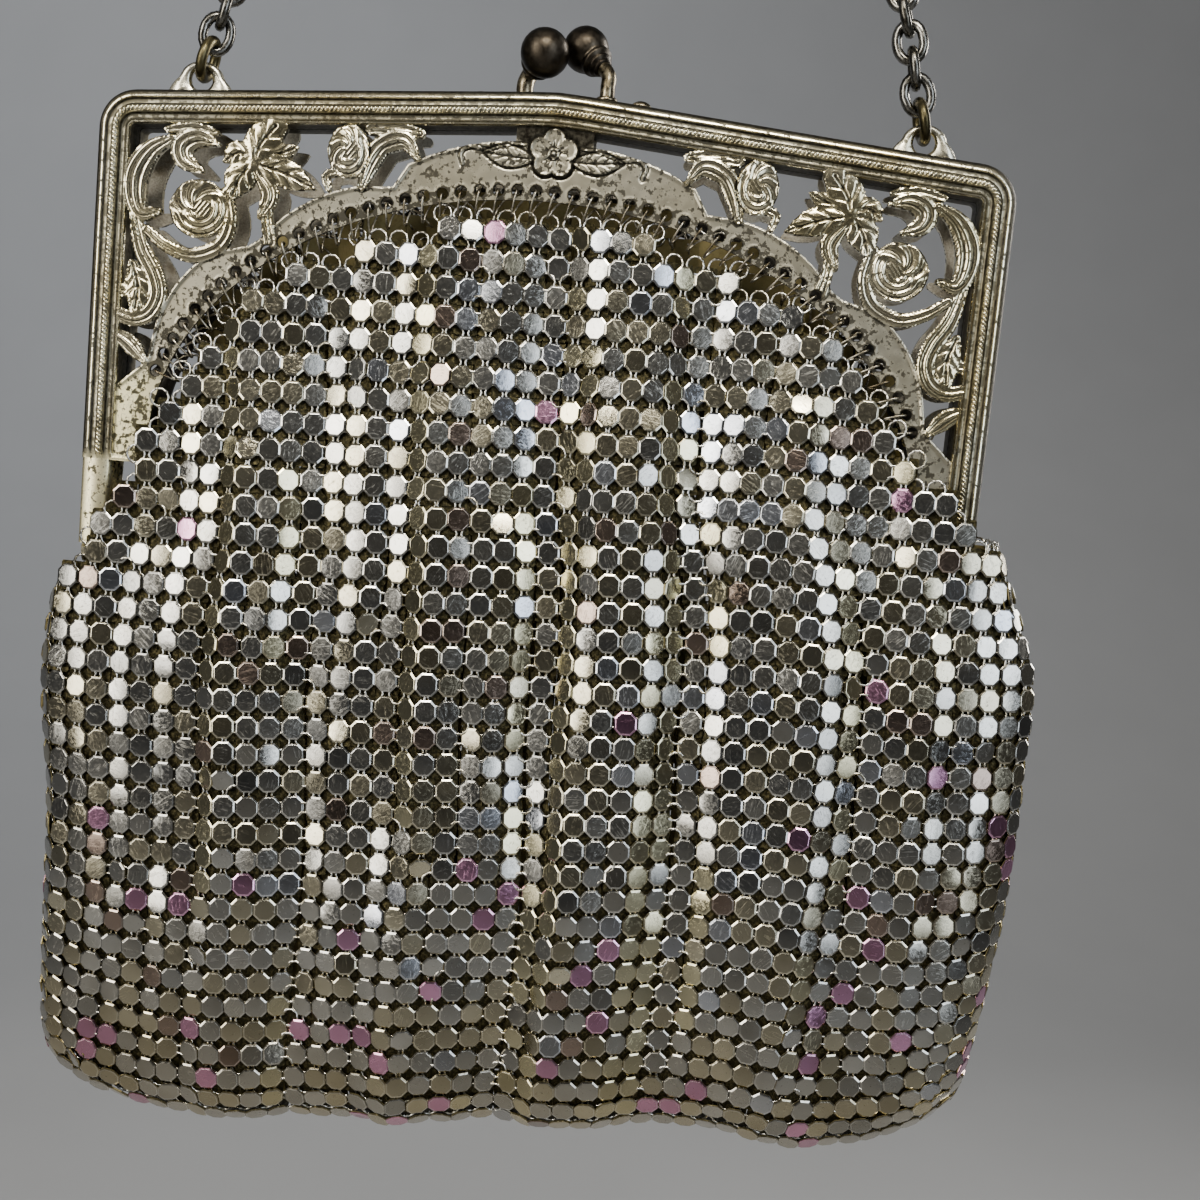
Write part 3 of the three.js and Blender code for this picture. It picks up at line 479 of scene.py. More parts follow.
def scatter(name, places, axes, pattern, finish, wobble, seed, tints=None, grains=None):
    """Copies of a pattern at places; axes are the right, up and outward directions there."""
    mesh = bpy.data.meshes.new(name)
    mesh.from_pydata(to_metres(places).tolist(), [], [])
    turns = [Matrix(np.stack(a, 1).tolist()).to_quaternion() for a in zip(*axes)]
    set_mark(mesh, "turn", turns, "QUATERNION")
    if tints is not None:
        set_mark(mesh, "tint", np.insert(tints, 3, 1, axis=1), "FLOAT_COLOR", "color")
        set_mark(mesh, "grain", grains)
    holder = bpy.data.objects.new(name, mesh)
    template = bpy.data.objects.new(name + "_pattern", pattern)
    for thing in (holder, template):
        bpy.context.scene.collection.objects.link(thing)
    modifier = holder.modifiers.new("copies", "NODES")
    modifier.node_group = scatter_tree(name + " copies", seed)
    settings = {"Pattern": template, "Size": 1.0, "Wobble": wobble, "Finish": finish}
    for socket in modifier.node_group.interface.items_tree:
        if socket.in_out == "INPUT" and socket.name in settings:
            modifier[socket.identifier] = settings[socket.name]
    evaluated = holder.evaluated_get(bpy.context.evaluated_depsgraph_get())
    copies = bpy.data.meshes.new_from_object(evaluated)
    holder.modifiers.clear()
    bpy.data.objects.remove(holder)
    bpy.data.objects.remove(template)
    bpy.data.meshes.remove(mesh)
    copies.name = name
    if "turn" in copies.attributes:
        copies.attributes.remove(copies.attributes["turn"])
    return copies


# Mesh pouch: the surface of the part's source, and the linked scales on it
POUCH_LEVELS = np.array([
    # height, half width, half depth, sway
    (-8, 65.6, 3.6, 0),
    (-50, 65.6, 7.2, 1.2),
    (-60, 67.6, 8.0, 3.2),
    (-70, 70.4, 8.7, 3.8),
    (-82, 71.2, 9.2, 3.5),
    (-102, 70.3, 9.6, 4.1),
    (-126, 68.8, 9.6, 3.1),
    (-148, 66.5, 9.0, 2.0),
], float)
TOP_HALF_WIDTH = POUCH_LEVELS[0, 1]
BODY_ROUNDNESS = 4
RIM = {"front": 3.5, "side": 7.0, "turn_from": 41, "turn_to": 57, "roundness": 10, "settle": 34}
RIM_SIDE = {"leave": 51, "left": 2.1, "right": 0.95}
BOTTOM = {"height": -143.6, "slant": 0.09, "slant_end": 30, "sag_from": 34, "sag_to": 46, "sag": 1.8}
BOTTOM_CORNER = {"rise": 10, "power": 8}
SEAM = {"height": 9, "half_depth": 0.9}
FACE_COLUMNS = 48
MESH_ROWS = 36
ROW_TOP = -10.6
FIRST_ROW_DROP = 2.9
BACK_ROW_DROP = -2.2
TUCKED_IN = 1.7
SCALE_LINK = 3.35
STEEPEST_FOLD = 2.6
FOLD_SLACK = 0.35
ROWS_CLOSE_UP = 0.08
HEM_CLEARANCE = 1.9
STREAK_KNOTS = 6
STREAK_WHOLE, STREAK_PART = 0.34, 0.2
MESH_SIDE = 58
TUCK_FADES = (54, 48)
LEAST_STEP, LEAST_DEPTH = 0.3, 0.5
LOOSE_RING_FROM = -42
SCALE_SINK, RING_SINK = 0.2, 0.55
SCALE_SHIFT = 0.045
LOOSE_SHARE = 0.12
LOOSE_TILT, FIRM_TILT, HEM_LEAN = np.radians((6.5, 2.1, 4))
SCALE_WOBBLE, RING_WOBBLE = math.radians(0.8), math.radians(5.0)
MESH_RING_RADIUS, MESH_RING_WIRE = 1.27, 0.2
# Skirt, edge, bevel and face of a scale: half width straight and slanted, level
SCALE_RINGS = [(1.48, 1.54, -0.3), (1.57, 1.63, -0.03), (1.36, 1.41, 0.07), (1.31, 1.36, 0.085)]
SCALE_CROWN = 0.118
SCALE_TALL = 1.03
BRASS_CORNERS = [(-1.66, -1.85), (-1.46, -2.1), (1.46, -2.1), (1.66, -1.85)]
BRASS_LEVELS, BRASS_SLANT = (-1.0, -0.86), 0.04
PLAIN_TINT = np.array((0.64, 0.63, 0.585))
# Painted reflection: warm yellow for scales turned sideways.
TURNED_REFLECTION_TINT = np.array((0.80, 0.74, 0.50))
TINT_STRENGTH = 0.79
HEM_DARKENING = np.array((0.38, 0.42, 0.5))

# Folds of the mesh at mid height: place across, and how far the mesh stands out there
FOLDS = np.array([
    (-72, 0.0), (-60, 0.5), (-52, -0.7), (-45, -0.6), (-39.5, 1.2), (-33, 0.9), (-28.5, -1.3),
    (-23, -0.7), (-17.5, -0.5), (-12.5, 1.7), (-8, 1.0), (-2, 0.1), (4.4, -1.5), (10, 2.7), (14, 2.4),
    (18, 1.7), (24, -1.8),
    (30, -0.4), (36, 0.3), (41, 1.2), (46, 0.7), (52, -0.8), (58, 0.4), (74, 0.0),
])


def level_at(height):
    """Half width, half depth and sway of the pouch at a height."""
    heights, sizes = POUCH_LEVELS[:, 0], POUCH_LEVELS[:, 1:]
    height = np.asarray(height, float)
    k = np.clip(np.searchsorted(-heights, -height) - 1, 0, len(heights) - 2)
    share = np.clip((height - heights[k]) / (heights[k + 1] - heights[k]), 0, 1)[..., None]
    around = np.vstack([2 * sizes[0] - sizes[1], sizes, 2 * sizes[-1] - sizes[-2]])
    before, here, there, after = (around[k + n] for n in range(4))
    mixed = rounded(share, here, there, (there - before) / 2, (after - here) / 2)
    return mixed[..., 0], mixed[..., 1], mixed[..., 2]


def rim_height(x):
    """Upper edge of the mesh, under the arch and down the sides."""
    reach = np.minimum(np.abs(x), RIM_SIDE["leave"])
    arch = ARCH_FOOT + (ARCH_RISE - GAP) * np.sqrt(1 - (reach / (ARCH_HALF_WIDTH - GAP)) ** 2)
    return arch - np.where(x < 0, RIM_SIDE["left"], RIM_SIDE["right"]) * (np.abs(x) - reach)


def bottom_height(across):
    """Lower edge of the mesh without its rounded corners."""
    x = across * TOP_HALF_WIDTH
    slant = BOTTOM["slant"] * np.minimum(x, BOTTOM["slant_end"])
    sag = BOTTOM["sag"] * smooth(BOTTOM["sag_from"], BOTTOM["sag_to"], x)
    return BOTTOM["height"] + slant - sag


def corner_rise(across):
    """How far the lower edge rises towards the corners."""
    return BOTTOM_CORNER["rise"] * np.abs(across) ** BOTTOM_CORNER["power"]


def pouch_depth(across, height):
    """Half depth of the pouch without its folds, and its place across."""
    rim = rim_height(across * TOP_HALF_WIDTH)
    bottom = bottom_height(across) + corner_rise(across)
    half_width, half_depth, sway = level_at(height)
    turn = smooth(RIM["turn_from"], RIM["turn_to"], np.abs(across) * TOP_HALF_WIDTH)
    rim_depth = RIM["front"] + (RIM["side"] - RIM["front"]) * turn
    rim_side = (1 - np.abs(across) ** RIM["roundness"]) ** (1 / RIM["roundness"])
    body_side = (1 - across ** BODY_ROUNDNESS) ** (1 / BODY_ROUNDNESS)
    above = np.clip((height - bottom) / SEAM["height"], 0, 1)
    rounding = np.sqrt(np.maximum(0, 1 - (1 - above) ** 2))
    settled = smooth(0, RIM["settle"], rim - height)
    depth = (rim_depth * rim_side * (1 - settled) + half_depth * body_side * settled) * rounding
    return sway + across * half_width, np.maximum(SEAM["half_depth"] * body_side, depth), body_side


def smooth_line(knots, x):
    """A rounded line through knots."""
    around = np.vstack([knots[:1], knots, knots[-1:]])
    k = np.clip(np.searchsorted(knots[:, 0], x) - 1, 0, len(knots) - 2)
    share = np.clip((x - knots[k, 0]) / (knots[k + 1, 0] - knots[k, 0]), 0, 1)
    before, here, there, after = (around[k + n, 1] for n in range(4))
    return rounded(share, here, there, (there - before) * FOLD_SLACK, (after - here) * FOLD_SLACK)


def fold_offset(x, height, side, chance):
    """How far a column edge stands out from the plain surface."""
    drift = 1.6 * np.sin((height + 30) / 26) * np.sin(x / 21 + side) + 0.02 * (height + 70)
    strength = 0.55 + 0.45 * smooth(10, 50, -height) - 0.35 * smooth(95, 135, -height)
    wave = smooth_line(FOLDS, x * side + drift)
    low = 0.7 * smooth(85, 125, -height) * np.sin(x / 4.6 + 0.06 * height)
    return wave * strength + low + chance * (0.5 + 0.5 * strength)


def row_edges(face, side, share, streaks):
    """Edges between the scales of one row on one face, and the rim's height over each."""
    across = side * np.sin(np.linspace(-math.pi / 2, math.pi / 2, 600))
    height = ROW_TOP + (bottom_height(across) + HEM_CLEARANCE - ROW_TOP) * share
    height = height + corner_rise(across) * max(share, 0) ** 4
    x, depth, body_side = pouch_depth(across, height)
    tucked = smooth(-1.0, 1.0, height - rim_height(across * TOP_HALF_WIDTH))
    depth = depth - TUCKED_IN * tucked * smooth(*TUCK_FADES, np.abs(x))
    spot = np.clip(share, 0, 1) * (STREAK_KNOTS - 1)
    low = min(int(spot), STREAK_KNOTS - 2)
    wander = streaks[low] + (streaks[low + 1] - streaks[low]) * float(smooth(0, 1, spot - low))
    path = lengths(np.stack([x, depth, height], 1))
    even = np.linspace(0, path[-1], FACE_COLUMNS + 1)
    offset = fold_offset(np.interp(even, path, x), np.interp(even, path, height), side, wander)
    offset *= np.interp(even, path, body_side) ** 2
    bends = np.concatenate([[0], np.cumsum(STEEPEST_FOLD * np.tanh(np.diff(offset) / STEEPEST_FOLD))])
    offset = offset[0] + bends + np.linspace(0, offset[-1] - offset[0] - bends[-1], len(even))
    steps = np.sqrt(np.maximum(LEAST_STEP, SCALE_LINK ** 2 - np.diff(offset) ** 2))
    reach = np.concatenate([[0], np.cumsum(steps)])
    reach *= path[-1] / reach[-1]
    x, depth, height, across = points_at(reach, path, np.stack([x, depth, height, across], 1)).T
    places = np.stack([x, face * np.maximum(LEAST_DEPTH, depth + offset), height], 1)
    return places, rim_height(across * TOP_HALF_WIDTH)


def lattice():
    """Centres of all scales, row by row and once round the pouch, with their directions."""
    chance = np.random.default_rng(11)
    edges = FACE_COLUMNS + 1
    streaks = chance.normal(0, STREAK_WHOLE, (2, 1, edges))
    streaks = streaks + chance.normal(0, STREAK_PART, (2, STREAK_KNOTS, edges))
    centres, right, kept = [], [], []
    for row in range(-1, MESH_ROWS + 1):
        share = row / (MESH_ROWS - 1)
        share += ROWS_CLOSE_UP * share * (1 - share)
        line = [row_edges(*face, share, streak) for face, streak in zip(((-1, 1), (1, -1)), streaks)]
        middles = np.concatenate([(p[1:] + p[:-1]) / 2 for p, _ in line])
        rims = np.concatenate([(r[1:] + r[:-1]) / 2 for _, r in line])
        first = (middles[:, 1] < 0) | (np.abs(middles[:, 0]) > MESH_SIDE)
        centres.append(middles)
        right.append(unit(np.concatenate([np.diff(p, axis=0) for p, _ in line])))
        kept.append(middles[:, 2] <= rims - np.where(first, FIRST_ROW_DROP, BACK_ROW_DROP))
    centres, right, kept = np.array(centres), np.array(right), np.array(kept)
    up = np.zeros_like(centres)
    up[1:-1] = centres[:-2] - centres[2:]
    up[0], up[-1] = centres[0] - centres[1], centres[-2] - centres[-1]
    up = unit(up - right * (up * right).sum(-1, keepdims=True))
    kept[0] = kept[-1] = False
    return centres, right, up, np.cross(right, up), kept


def octagon(flat, diagonal, level):
    """Eight corners: half width to the level and upright sides, and to the slanted ones."""
    cut = diagonal * math.sqrt(2) - flat
    corners = [(flat, cut), (cut, flat), (-cut, flat), (-flat, cut),
               (-flat, -cut), (-cut, -flat), (cut, -flat), (flat, -cut)]
    return [(x, y * SCALE_TALL, level) for x, y in corners]


def scale_pattern():
    """One scale: faintly domed face, bevel, short skirt, and the brass plate behind it."""
    points, faces = shell([octagon(*size) for size in SCALE_RINGS])
    rim, middle = faces.pop(), len(points)
    points = np.vstack([points, (0, 0, SCALE_CROWN)])
    faces += [(a, b, middle) for a, b in zip(rim, rim[1:] + rim[:1])]
    corners = BRASS_CORNERS + [(-x, -y) for x, y in BRASS_CORNERS]
    base = [[(x, y, level - BRASS_SLANT * y) for x, y in corners] for level in BRASS_LEVELS]
    # Marks for the finish: 1 at the skirt's foot and the plate's front for painted black shade, 0.5 on the
    # plate's back for brass, -1 at the bevel for a painted highlight.
    inner = [1] * 8 + [0] * 8 + [-1] * 8 + [0] * 9 + [0.5] * 8 + [1] * 8
    mesh = pattern_mesh("one_scale", join([(points, faces), shell(base)]), inner=inner)
    for edge in mesh.edges:
        edge.use_edge_sharp = middle not in edge.vertices
    face_out(mesh)
    return mesh


def ring_pattern():
    """One ring that links four scales."""
    path = MESH_RING_RADIUS * circle(full_turn(10), np.array((1, 0, 0)), np.array((0, 1, 0)))
    return pattern_mesh("one_mesh_ring", tube(path, MESH_RING_WIRE, 4, closed=True))


def scale_tints(places, out, seed):
    """Colour of each scale: silver, olive, slate, bluish, beige, pink or brown, by place and chance; lower
    rows lighter and pinker, and scales turned sideways yellow, as painted reflection.
    """
    chance = np.random.default_rng(seed)
    count = len(places)
    tints = PLAIN_TINT * chance.normal(1, 0.07, (count, 1)).clip(0.75, 1.12)
    # Painted reflection: lower down the scales turn lighter and more often olive-beige or pink.
    low = smooth(85, 135, -places[:, 2])
    middle = hump(places[:, 0], 14, 34) * (1 - low)
    draw = chance.random(count)
    edge = 0.0
    for share, colour in (
        (0.10 * middle + 0.02, (0.66, 0.69, 0.75)),
        (0.24 + 0.10 * low, (0.68, 0.63, 0.47)),
        (0.01 + 0.07 * low, (0.90, 0.47, 0.73)),
        (0.09 - 0.06 * low, (0.48, 0.48, 0.46)),
        (0.04 - 0.02 * low, (0.46, 0.36, 0.30)),
    ):
        chosen = (draw >= edge) & (draw < edge + share)
        tints[chosen] = np.array(colour) * chance.normal(1, 0.09, (chosen.sum(), 1)).clip(0.8, 1.2)
        edge = edge + share
    # Painted reflection: scales turned well sideways take a warm yellow tint.
    turned = (np.abs(out[:, 0]) > 0.38) & (np.abs(places[:, 0]) < MESH_SIDE)
    turned = turned & (chance.random(count) < 0.8)
    tints[turned] = TURNED_REFLECTION_TINT * chance.normal(1, 0.07, (turned.sum(), 1))
    under = smooth(112, 142, -places[:, 2])[:, None]
    tints = TINT_STRENGTH * tints * (1 + 0.12 * low[:, None]) * (1 - under * HEM_DARKENING)
    return tints.clip(0.02, 0.95)


def nudged(axes, sizes, chance):
    """Directions of the scales after each one has tilted by chance."""
    right, up, out = axes
    lean = chance.normal(0, 1, (len(right), 2)) * sizes[:, None]
    out = unit(out + right * lean[:, :1] + up * lean[:, 1:])
    right = unit(right - out * (right * out).sum(-1, keepdims=True))
    return right, np.cross(out, right), out


def build_mesh():
    """The scales and the rings between them, front and back."""
    centres, right, up, out, kept = lattice()
    chance = np.random.default_rng(5)
    columns = np.arange(2 * FACE_COLUMNS)
    faces = (("front", columns < FACE_COLUMNS), ("back", columns >= FACE_COLUMNS))
    scale, ring = scale_pattern(), ring_pattern()
    for seed, (face, chosen) in enumerate(faces, 3):
        here = kept & chosen
        places = centres[here] - out[here] * SCALE_SINK
        shift = chance.normal(0, SCALE_SHIFT, (len(places), 2))
        places = places + right[here] * shift[:, :1] + up[here] * shift[:, 1:]
        tilts = np.where(chance.random(len(places)) < LOOSE_SHARE, LOOSE_TILT, FIRM_TILT)
        drop = -places[:, 2]
        lean = np.tan(HEM_LEAN * smooth(104, 122, drop) * smooth(139, 128, drop))[:, None]
        axes = nudged((right[here], up[here], unit(out[here] - up[here] * lean)), tilts, chance)
        tints = scale_tints(places, out[here], seed)
        grains = chance.random(len(places)) * 6.28
        copies = scatter(f"mesh_scales_{face}", places, axes, scale, SCALE_SILVER, SCALE_WOBBLE, seed,
                         tints, grains)
        ride_along(copies, "mesh_scales", "mesh_pouch")
    after = np.roll(columns, -1)

    def four(values):
        """Mean over each scale and its neighbours beside, below and aslant."""
        return (values[:-1] + values[1:] + values[:-1][:, after] + values[1:][:, after]) / 4

    middles, ring_right, ring_up = four(centres), unit(four(right)), unit(four(up))
    linked = four(kept.astype(float)) > np.where(middles[:, :, 2] < LOOSE_RING_FROM, 0.3, 0.2)
    linked[-1] = False
    ring_out = unit(np.cross(ring_right, ring_up))
    ring_up = np.cross(ring_out, ring_right)
    for seed, (face, chosen) in enumerate(faces, 9):
        here = linked & chosen
        axes = (ring_right[here], ring_up[here], ring_out[here])
        copies = scatter(f"mesh_rings_{face}", middles[here] - axes[2] * RING_SINK, axes, ring, RING_SILVER,
                         RING_WOBBLE, seed)
        ride_along(copies, "mesh_scales", "mesh_pouch")


# Frame: rail, pierced panel, rope bead, lugs
RAIL_PROFILE = [
    # inward from the outer edge, depth, and how dark it is painted: tarnish in the grooves, painted shade on
    # the outer side and roll, the inner side and the bead under the twists
    (0.0, 0.15, 0.9), (0.0, 1.5, 0.9), (0.05, 2.2, 0.9), (0.2, 2.8, 0.85), (0.46, 3.25, 0.75),
    (0.8, 3.54, 0.42), (1.04, 3.68, 0.1), (1.2, 3.7, 0.0), (1.32, 3.6, 0.4), (1.46, 3.38, 0.9),
    (1.7, 3.3, 0.44), (2.05, 3.32, 0.44), (2.24, 3.44, 0.9), (2.36, 3.84, 0.5), (2.52, 4.12, 0.42),
    (2.72, 4.27, 0.42), (2.96, 4.27, 0.42), (3.16, 4.12, 0.42), (3.32, 3.84, 0.5), (3.44, 3.46, 0.9),
    (3.6, 3.34, 0.5), (3.85, 3.32, 0.4), (4.15, 3.42, 0.44), (4.34, 3.68, 0.2), (4.5, 3.88, 0.0),
    (4.7, 3.88, 0.0), (4.84, 3.68, 0.2), (4.9, 3.3, 0.6), (4.9, 0.15, 0.75),
]
RAIL_CORNER_STEPS = 14
RAIL_FADE = -49.4
ROPE_PITCH = 0.6
ROPE_INWARD, ROPE_DEPTH = 2.84, 4.3
ROPE_END = RAIL_FADE - 0.8 - RAIL_END
ROPE_WOBBLE = math.radians(4)
RAIL_CREASE, PANEL_CREASE = math.radians(42), math.radians(48)


def rail_stations():
    """Stations along the rail of one half, from the right foot over the gable to the left foot."""
    centre_x = FRAME_HALF_WIDTH - CORNER_RADIUS
    centre_height = -CORNER_RADIUS * (1 - math.sin(GABLE_SLOPE)) / math.cos(GABLE_SLOPE)
    heights = np.concatenate([np.linspace(RAIL_END, RAIL_FADE, 5), np.linspace(-40, centre_height - 1, 7)])
    right = [(FRAME_HALF_WIDTH, height, -1.0, 0.0) for height in heights]
    for i in range(RAIL_CORNER_STEPS + 1):
        angle = (math.pi / 2 - GABLE_SLOPE) * i / RAIL_CORNER_STEPS
        out_x, out_height = math.cos(angle), math.sin(angle)
        right.append((centre_x + CORNER_RADIUS * out_x, centre_height + CORNER_RADIUS * out_height,
                      -out_x, -out_height))
    last = right[-1]
    for share in (0.2, 0.4, 0.6, 0.8, 0.93):
        x = last[0] * (1 - share)
        right.append((x, rail_top(x), last[2], last[3]))
    peak = [(0.0, GABLE_RISE - 0.1, 0.0, -1 / math.cos(GABLE_SLOPE))]
    left = [(-x, height, -in_x, in_height) for x, height, in_x, in_height in reversed(right)]
    return np.array(right + peak + left)


def rail_part():
    """The ribbed rail of one half, with its marks for tarnish and painted shade, and for rubbing."""
    stations = rail_stations()
    rings, tarnish_and_shade_marks, rubs = [], [], []
    for x, height, in_x, in_height in stations:
        worn = float(smooth(RAIL_FADE, RAIL_END, height))
        rings.append([(x + in_x * inward, -depth + worn * max(0, depth - END_FRONT),
                       height + in_height * inward) for inward, depth, _ in RAIL_PROFILE])
        tarnish_and_shade_marks += [hollow * (1 - 0.9 * worn) for _, _, hollow in RAIL_PROFILE]
        rubs += [0.8 * worn] * len(RAIL_PROFILE)
    return shell(rings), tarnish_and_shade_marks, rubs


def rope_places():
    """Places of the twists on the rail's bead, with the way along, across and out."""
    x, height, in_x, in_height = rail_stations().T
    inward = np.stack([in_x, 0 * x, in_height], 1)
    path = np.stack([x, 0 * x - ROPE_DEPTH, height], 1) + inward * ROPE_INWARD
    length = lengths(path)
    at = np.arange(0, length[-1], ROPE_PITCH)
    at = at[(at > ROPE_END) & (at < length[-1] - ROPE_END)]
    inward = unit(points_at(at, length, inward))
    out = np.tile((0.0, -1.0, 0.0), (len(at), 1))
    slanted = unit(unit(np.cross(inward, out)) + 0.9 * inward)
    return points_at(at, length, path), (slanted, np.cross(out, slanted), out)


def rope_pattern():
    """One twist of the rope bead: a slim pointed grain."""
    rings = []
    for along, size, sink in ((-0.56, 0.35, 0.2), (-0.26, 0.95, 0.03), (0.26, 0.95, 0.03), (0.56, 0.35, 0.2)):
        rings.append([(along, 0.17 * size * math.cos(a), 0.22 * size * math.sin(a) - sink)
                      for a in full_turn(6)])
    return pattern_mesh("one_twist", shell(rings))


# Upper edge of the arch band from the centre tab outwards: x, height, and bulge of the run that ends there
BAND_EDGE = [
    (5.3, 0.6, 0), (5.3, -2.3, 0), (19.8, -6.6, 0.8), (21.8, -9.9, 0), (25.9, -10.1, 0),
    (39.8, -18.6, 1.5), (41.2, -19.6, 0), (46.0, -20.8, 0), (54.0, -33.2, 1.6), (54.6, -36.6, 0),
    (59.2, -40.8, 0), (59.2, RAIL_END, 0), (ARCH_HALF_WIDTH, RAIL_END, 0),
]
PANEL_BACK = 2.85
SCROLL_EDGE = 3.1
STROKE_FULLNESS = 1.1
ARCH_MEAN_RADIUS = 46

# Scroll work of one corner: points along each stroke, widths at start, middle and end, crown, lobes along
# the edge, chased lines along it, slanted veins across it
STROKES = [
    ([(52.7, -6.0), (55.6, -7.9), (57.4, -11.0), (57.5, -14.2), (56.4, -16.4), (54.0, -16.0)],
     (1.0, 3.3, 0.9), 4.15, 0, 3, 0),
    ([(53.4, -4.9), (49.8, -4.3), (46.4, -4.8)], (1.0, 1.4, 0.7), 3.9, 3, 2, 0),
    ([(46.2, -6.3), (49.2, -5.7), (51.2, -6.9), (50.8, -8.8), (48.4, -10.0)],
     (0.5, 3.0, 0.8), 4.1, 0, 3, 0),
    ([(44.7, -12.8), (44.0, -16.7), (45.4, -20.0), (49.1, -21.6), (52.8, -20.6), (55.6, -18.6)],
     (1.7, 1.9, 1.2), 3.95, 0, 2, 0),
    ([(41.2, -8.6), (40.4, -5.8), (38.4, -3.2)], (2.2, 4.4, 3.0), 4.05, 0, 0, 3),
    ([(40.4, -7.2), (37.4, -6.7), (35.3, -5.7)], (1.6, 2.4, 0.3), 3.9, 0, 0, 2),
    ([(41.0, -8.4), (36.8, -9.4), (32.4, -11.2)], (1.8, 3.5, 0.2), 4.1, 0, 0, 4),
    ([(41.2, -8.2), (43.0, -10.6), (44.0, -13.4)], (2.2, 3.9, 0.5), 4.05, 0, 0, 3),
    ([(41.2, -8.0), (43.4, -7.2), (45.3, -8.6)], (1.8, 3.0, 0.3), 4.0, 0, 0, 3),
    ([(40.6, -9.6), (38.7, -12.4), (39.8, -15.6)], (1.0, 2.3, 0.7), 4.0, 0, 3, 0),
    ([(38.9, -13.2), (38.8, -16.2), (38.2, -18.9)], (1.2, 1.5, 1.9), 3.85, 0, 3, 0),
    ([(29.4, -8.4), (31.0, -9.2), (30.6, -10.9)], (1.4, 1.1, 0.8), 3.85, 0, 2, 0),
    ([(25.2, -2.4), (21.6, -2.2), (18.4, -2.5)], (1.6, 2.0, 1.2), 3.8, 0, 3, 0),
    ([(26.0, -10.2), (25.0, -6.6), (23.4, -4.4), (20.6, -3.6), (18.5, -5.9)],
     (1.3, 2.8, 0.8), 4.05, 2, 3, 0),
    ([(57.7, -15.0), (57.0, -18.4), (56.0, -21.6), (54.2, -24.6), (53.5, -27.4), (54.6, -30.0), (56.8, -31.0),
      (59.4, -30.4)], (0.9, 2.3, 1.8), 4.0, 0, 3, 0),
    ([(57.3, -23.4), (56.4, -26.4), (56.6, -29.6)], (1.0, 3.4, 1.4), 3.95, 0, 0, 4),
    ([(56.6, -27.4), (58.2, -27.2), (59.5, -27.2)], (1.6, 1.7, 1.2), 3.8, 0, 2, 0),
    ([(59.3, -33.2), (57.3, -34.4), (55.0, -36.6)], (1.3, 2.3, 1.0), 3.9, 0, 3, 0),
]
# Round scroll heads: centre, radius across and up, crown, start angle of the swirl, way it turns
SCROLL_HEADS = [
    ((48.4, -15.2), (4.1, 4.0), 4.2, 0.5, -1),
    ((28.1, -5.7), (2.95, 3.7), 4.15, 2.4, 1),
]
# Chased work on the tab: leaf and tendrils
TAB_LEAF = ([(2.9, -4.5), (6.2, -4.4), (9.5, -4.1)], (1.0, 3.0, 0.3))
TENDRILS = [
    ([(8.6, -4.0), (11.4, -3.5), (12.7, -4.4), (12.4, -5.9)], (0.4, 0.5, 0.45)),
    ([(2.6, -2.9), (5.6, -2.7), (9.4, -3.9)], (0.3, 0.36, 0.3)),
]
FLOWER_HEIGHT = -3.6
PANEL_STEP = 0.175
EYELET_OUT = 1.3
EYELET_PITCH = 2.6
EYELET_LOWEST = -38.5
EYELET_HOLE = 0.8


def arc(start, end, bulge, count):
    """Points on a round arc that stands out by bulge from its chord."""
    start, end = np.array(start, float), np.array(end, float)
    along = end - start
    half = np.linalg.norm(along) / 2
    along = along / (2 * half)
    across = np.array([-along[1], along[0]])
    share = np.linspace(0, 1, count)
    turn = 2 * math.atan2(bulge, half)
    if abs(turn) < 1e-6:
        return start + np.outer(2 * half * share, along)
    radius = half / math.sin(turn)
    way = radius * (math.sin(turn) - np.sin(turn * (1 - 2 * share)))
    sideways = radius * (np.cos(turn * (1 - 2 * share)) - math.cos(turn))
    return start + np.outer(way, along) + np.outer(sideways, across)


def smooth_path(points, count):
    """A smooth line through points in the upright plane, at even steps."""
    line = catmull(points, 24)
    length = lengths(line)
    return points_at(np.linspace(0, length[-1], count), length, line)


def stroke_field(x, height, path, widths, lobes=0):
    """For each place: way across the stroke over its half width, the half width, and the share along."""
    count = len(path)
    share = np.linspace(0, 1, count)
    edge = np.where(share < 0.5, widths[0], widths[2])
    half = (edge + (widths[1] - edge) * np.sin(math.pi * share)) / 2
    if lobes:
        half = half * (0.86 + 0.22 * np.abs(np.sin(math.pi * lobes * share)))
    ahead = unit(np.gradient(path, axis=0))
    flat_x, flat_height = x.ravel(), height.ravel()
    across = np.full(flat_x.shape, 9.0)
    width = np.full(flat_x.shape, 1.0)
    along = np.zeros(flat_x.shape)
    low, high = path.min(0) - 2.5, path.max(0) + 2.5
    flat = np.stack([flat_x, flat_height], 1)
    near = np.where(((flat > low) & (flat < high)).all(1))[0]
    gap = flat[near][:, None, :] - path[None]
    nearest = np.argmin((gap ** 2).sum(-1), 1)
    gap = gap[np.arange(len(near)), nearest]
    way = ahead[nearest]
    signed = way[:, 0] * gap[:, 1] - way[:, 1] * gap[:, 0]
    distance = np.hypot(gap[:, 0], gap[:, 1])
    width[near] = half[nearest]
    across[near] = np.where(signed < 0, -1, 1) * distance / half[nearest]
    along[near] = share[nearest]
    return across.reshape(x.shape), width.reshape(x.shape), along.reshape(x.shape)


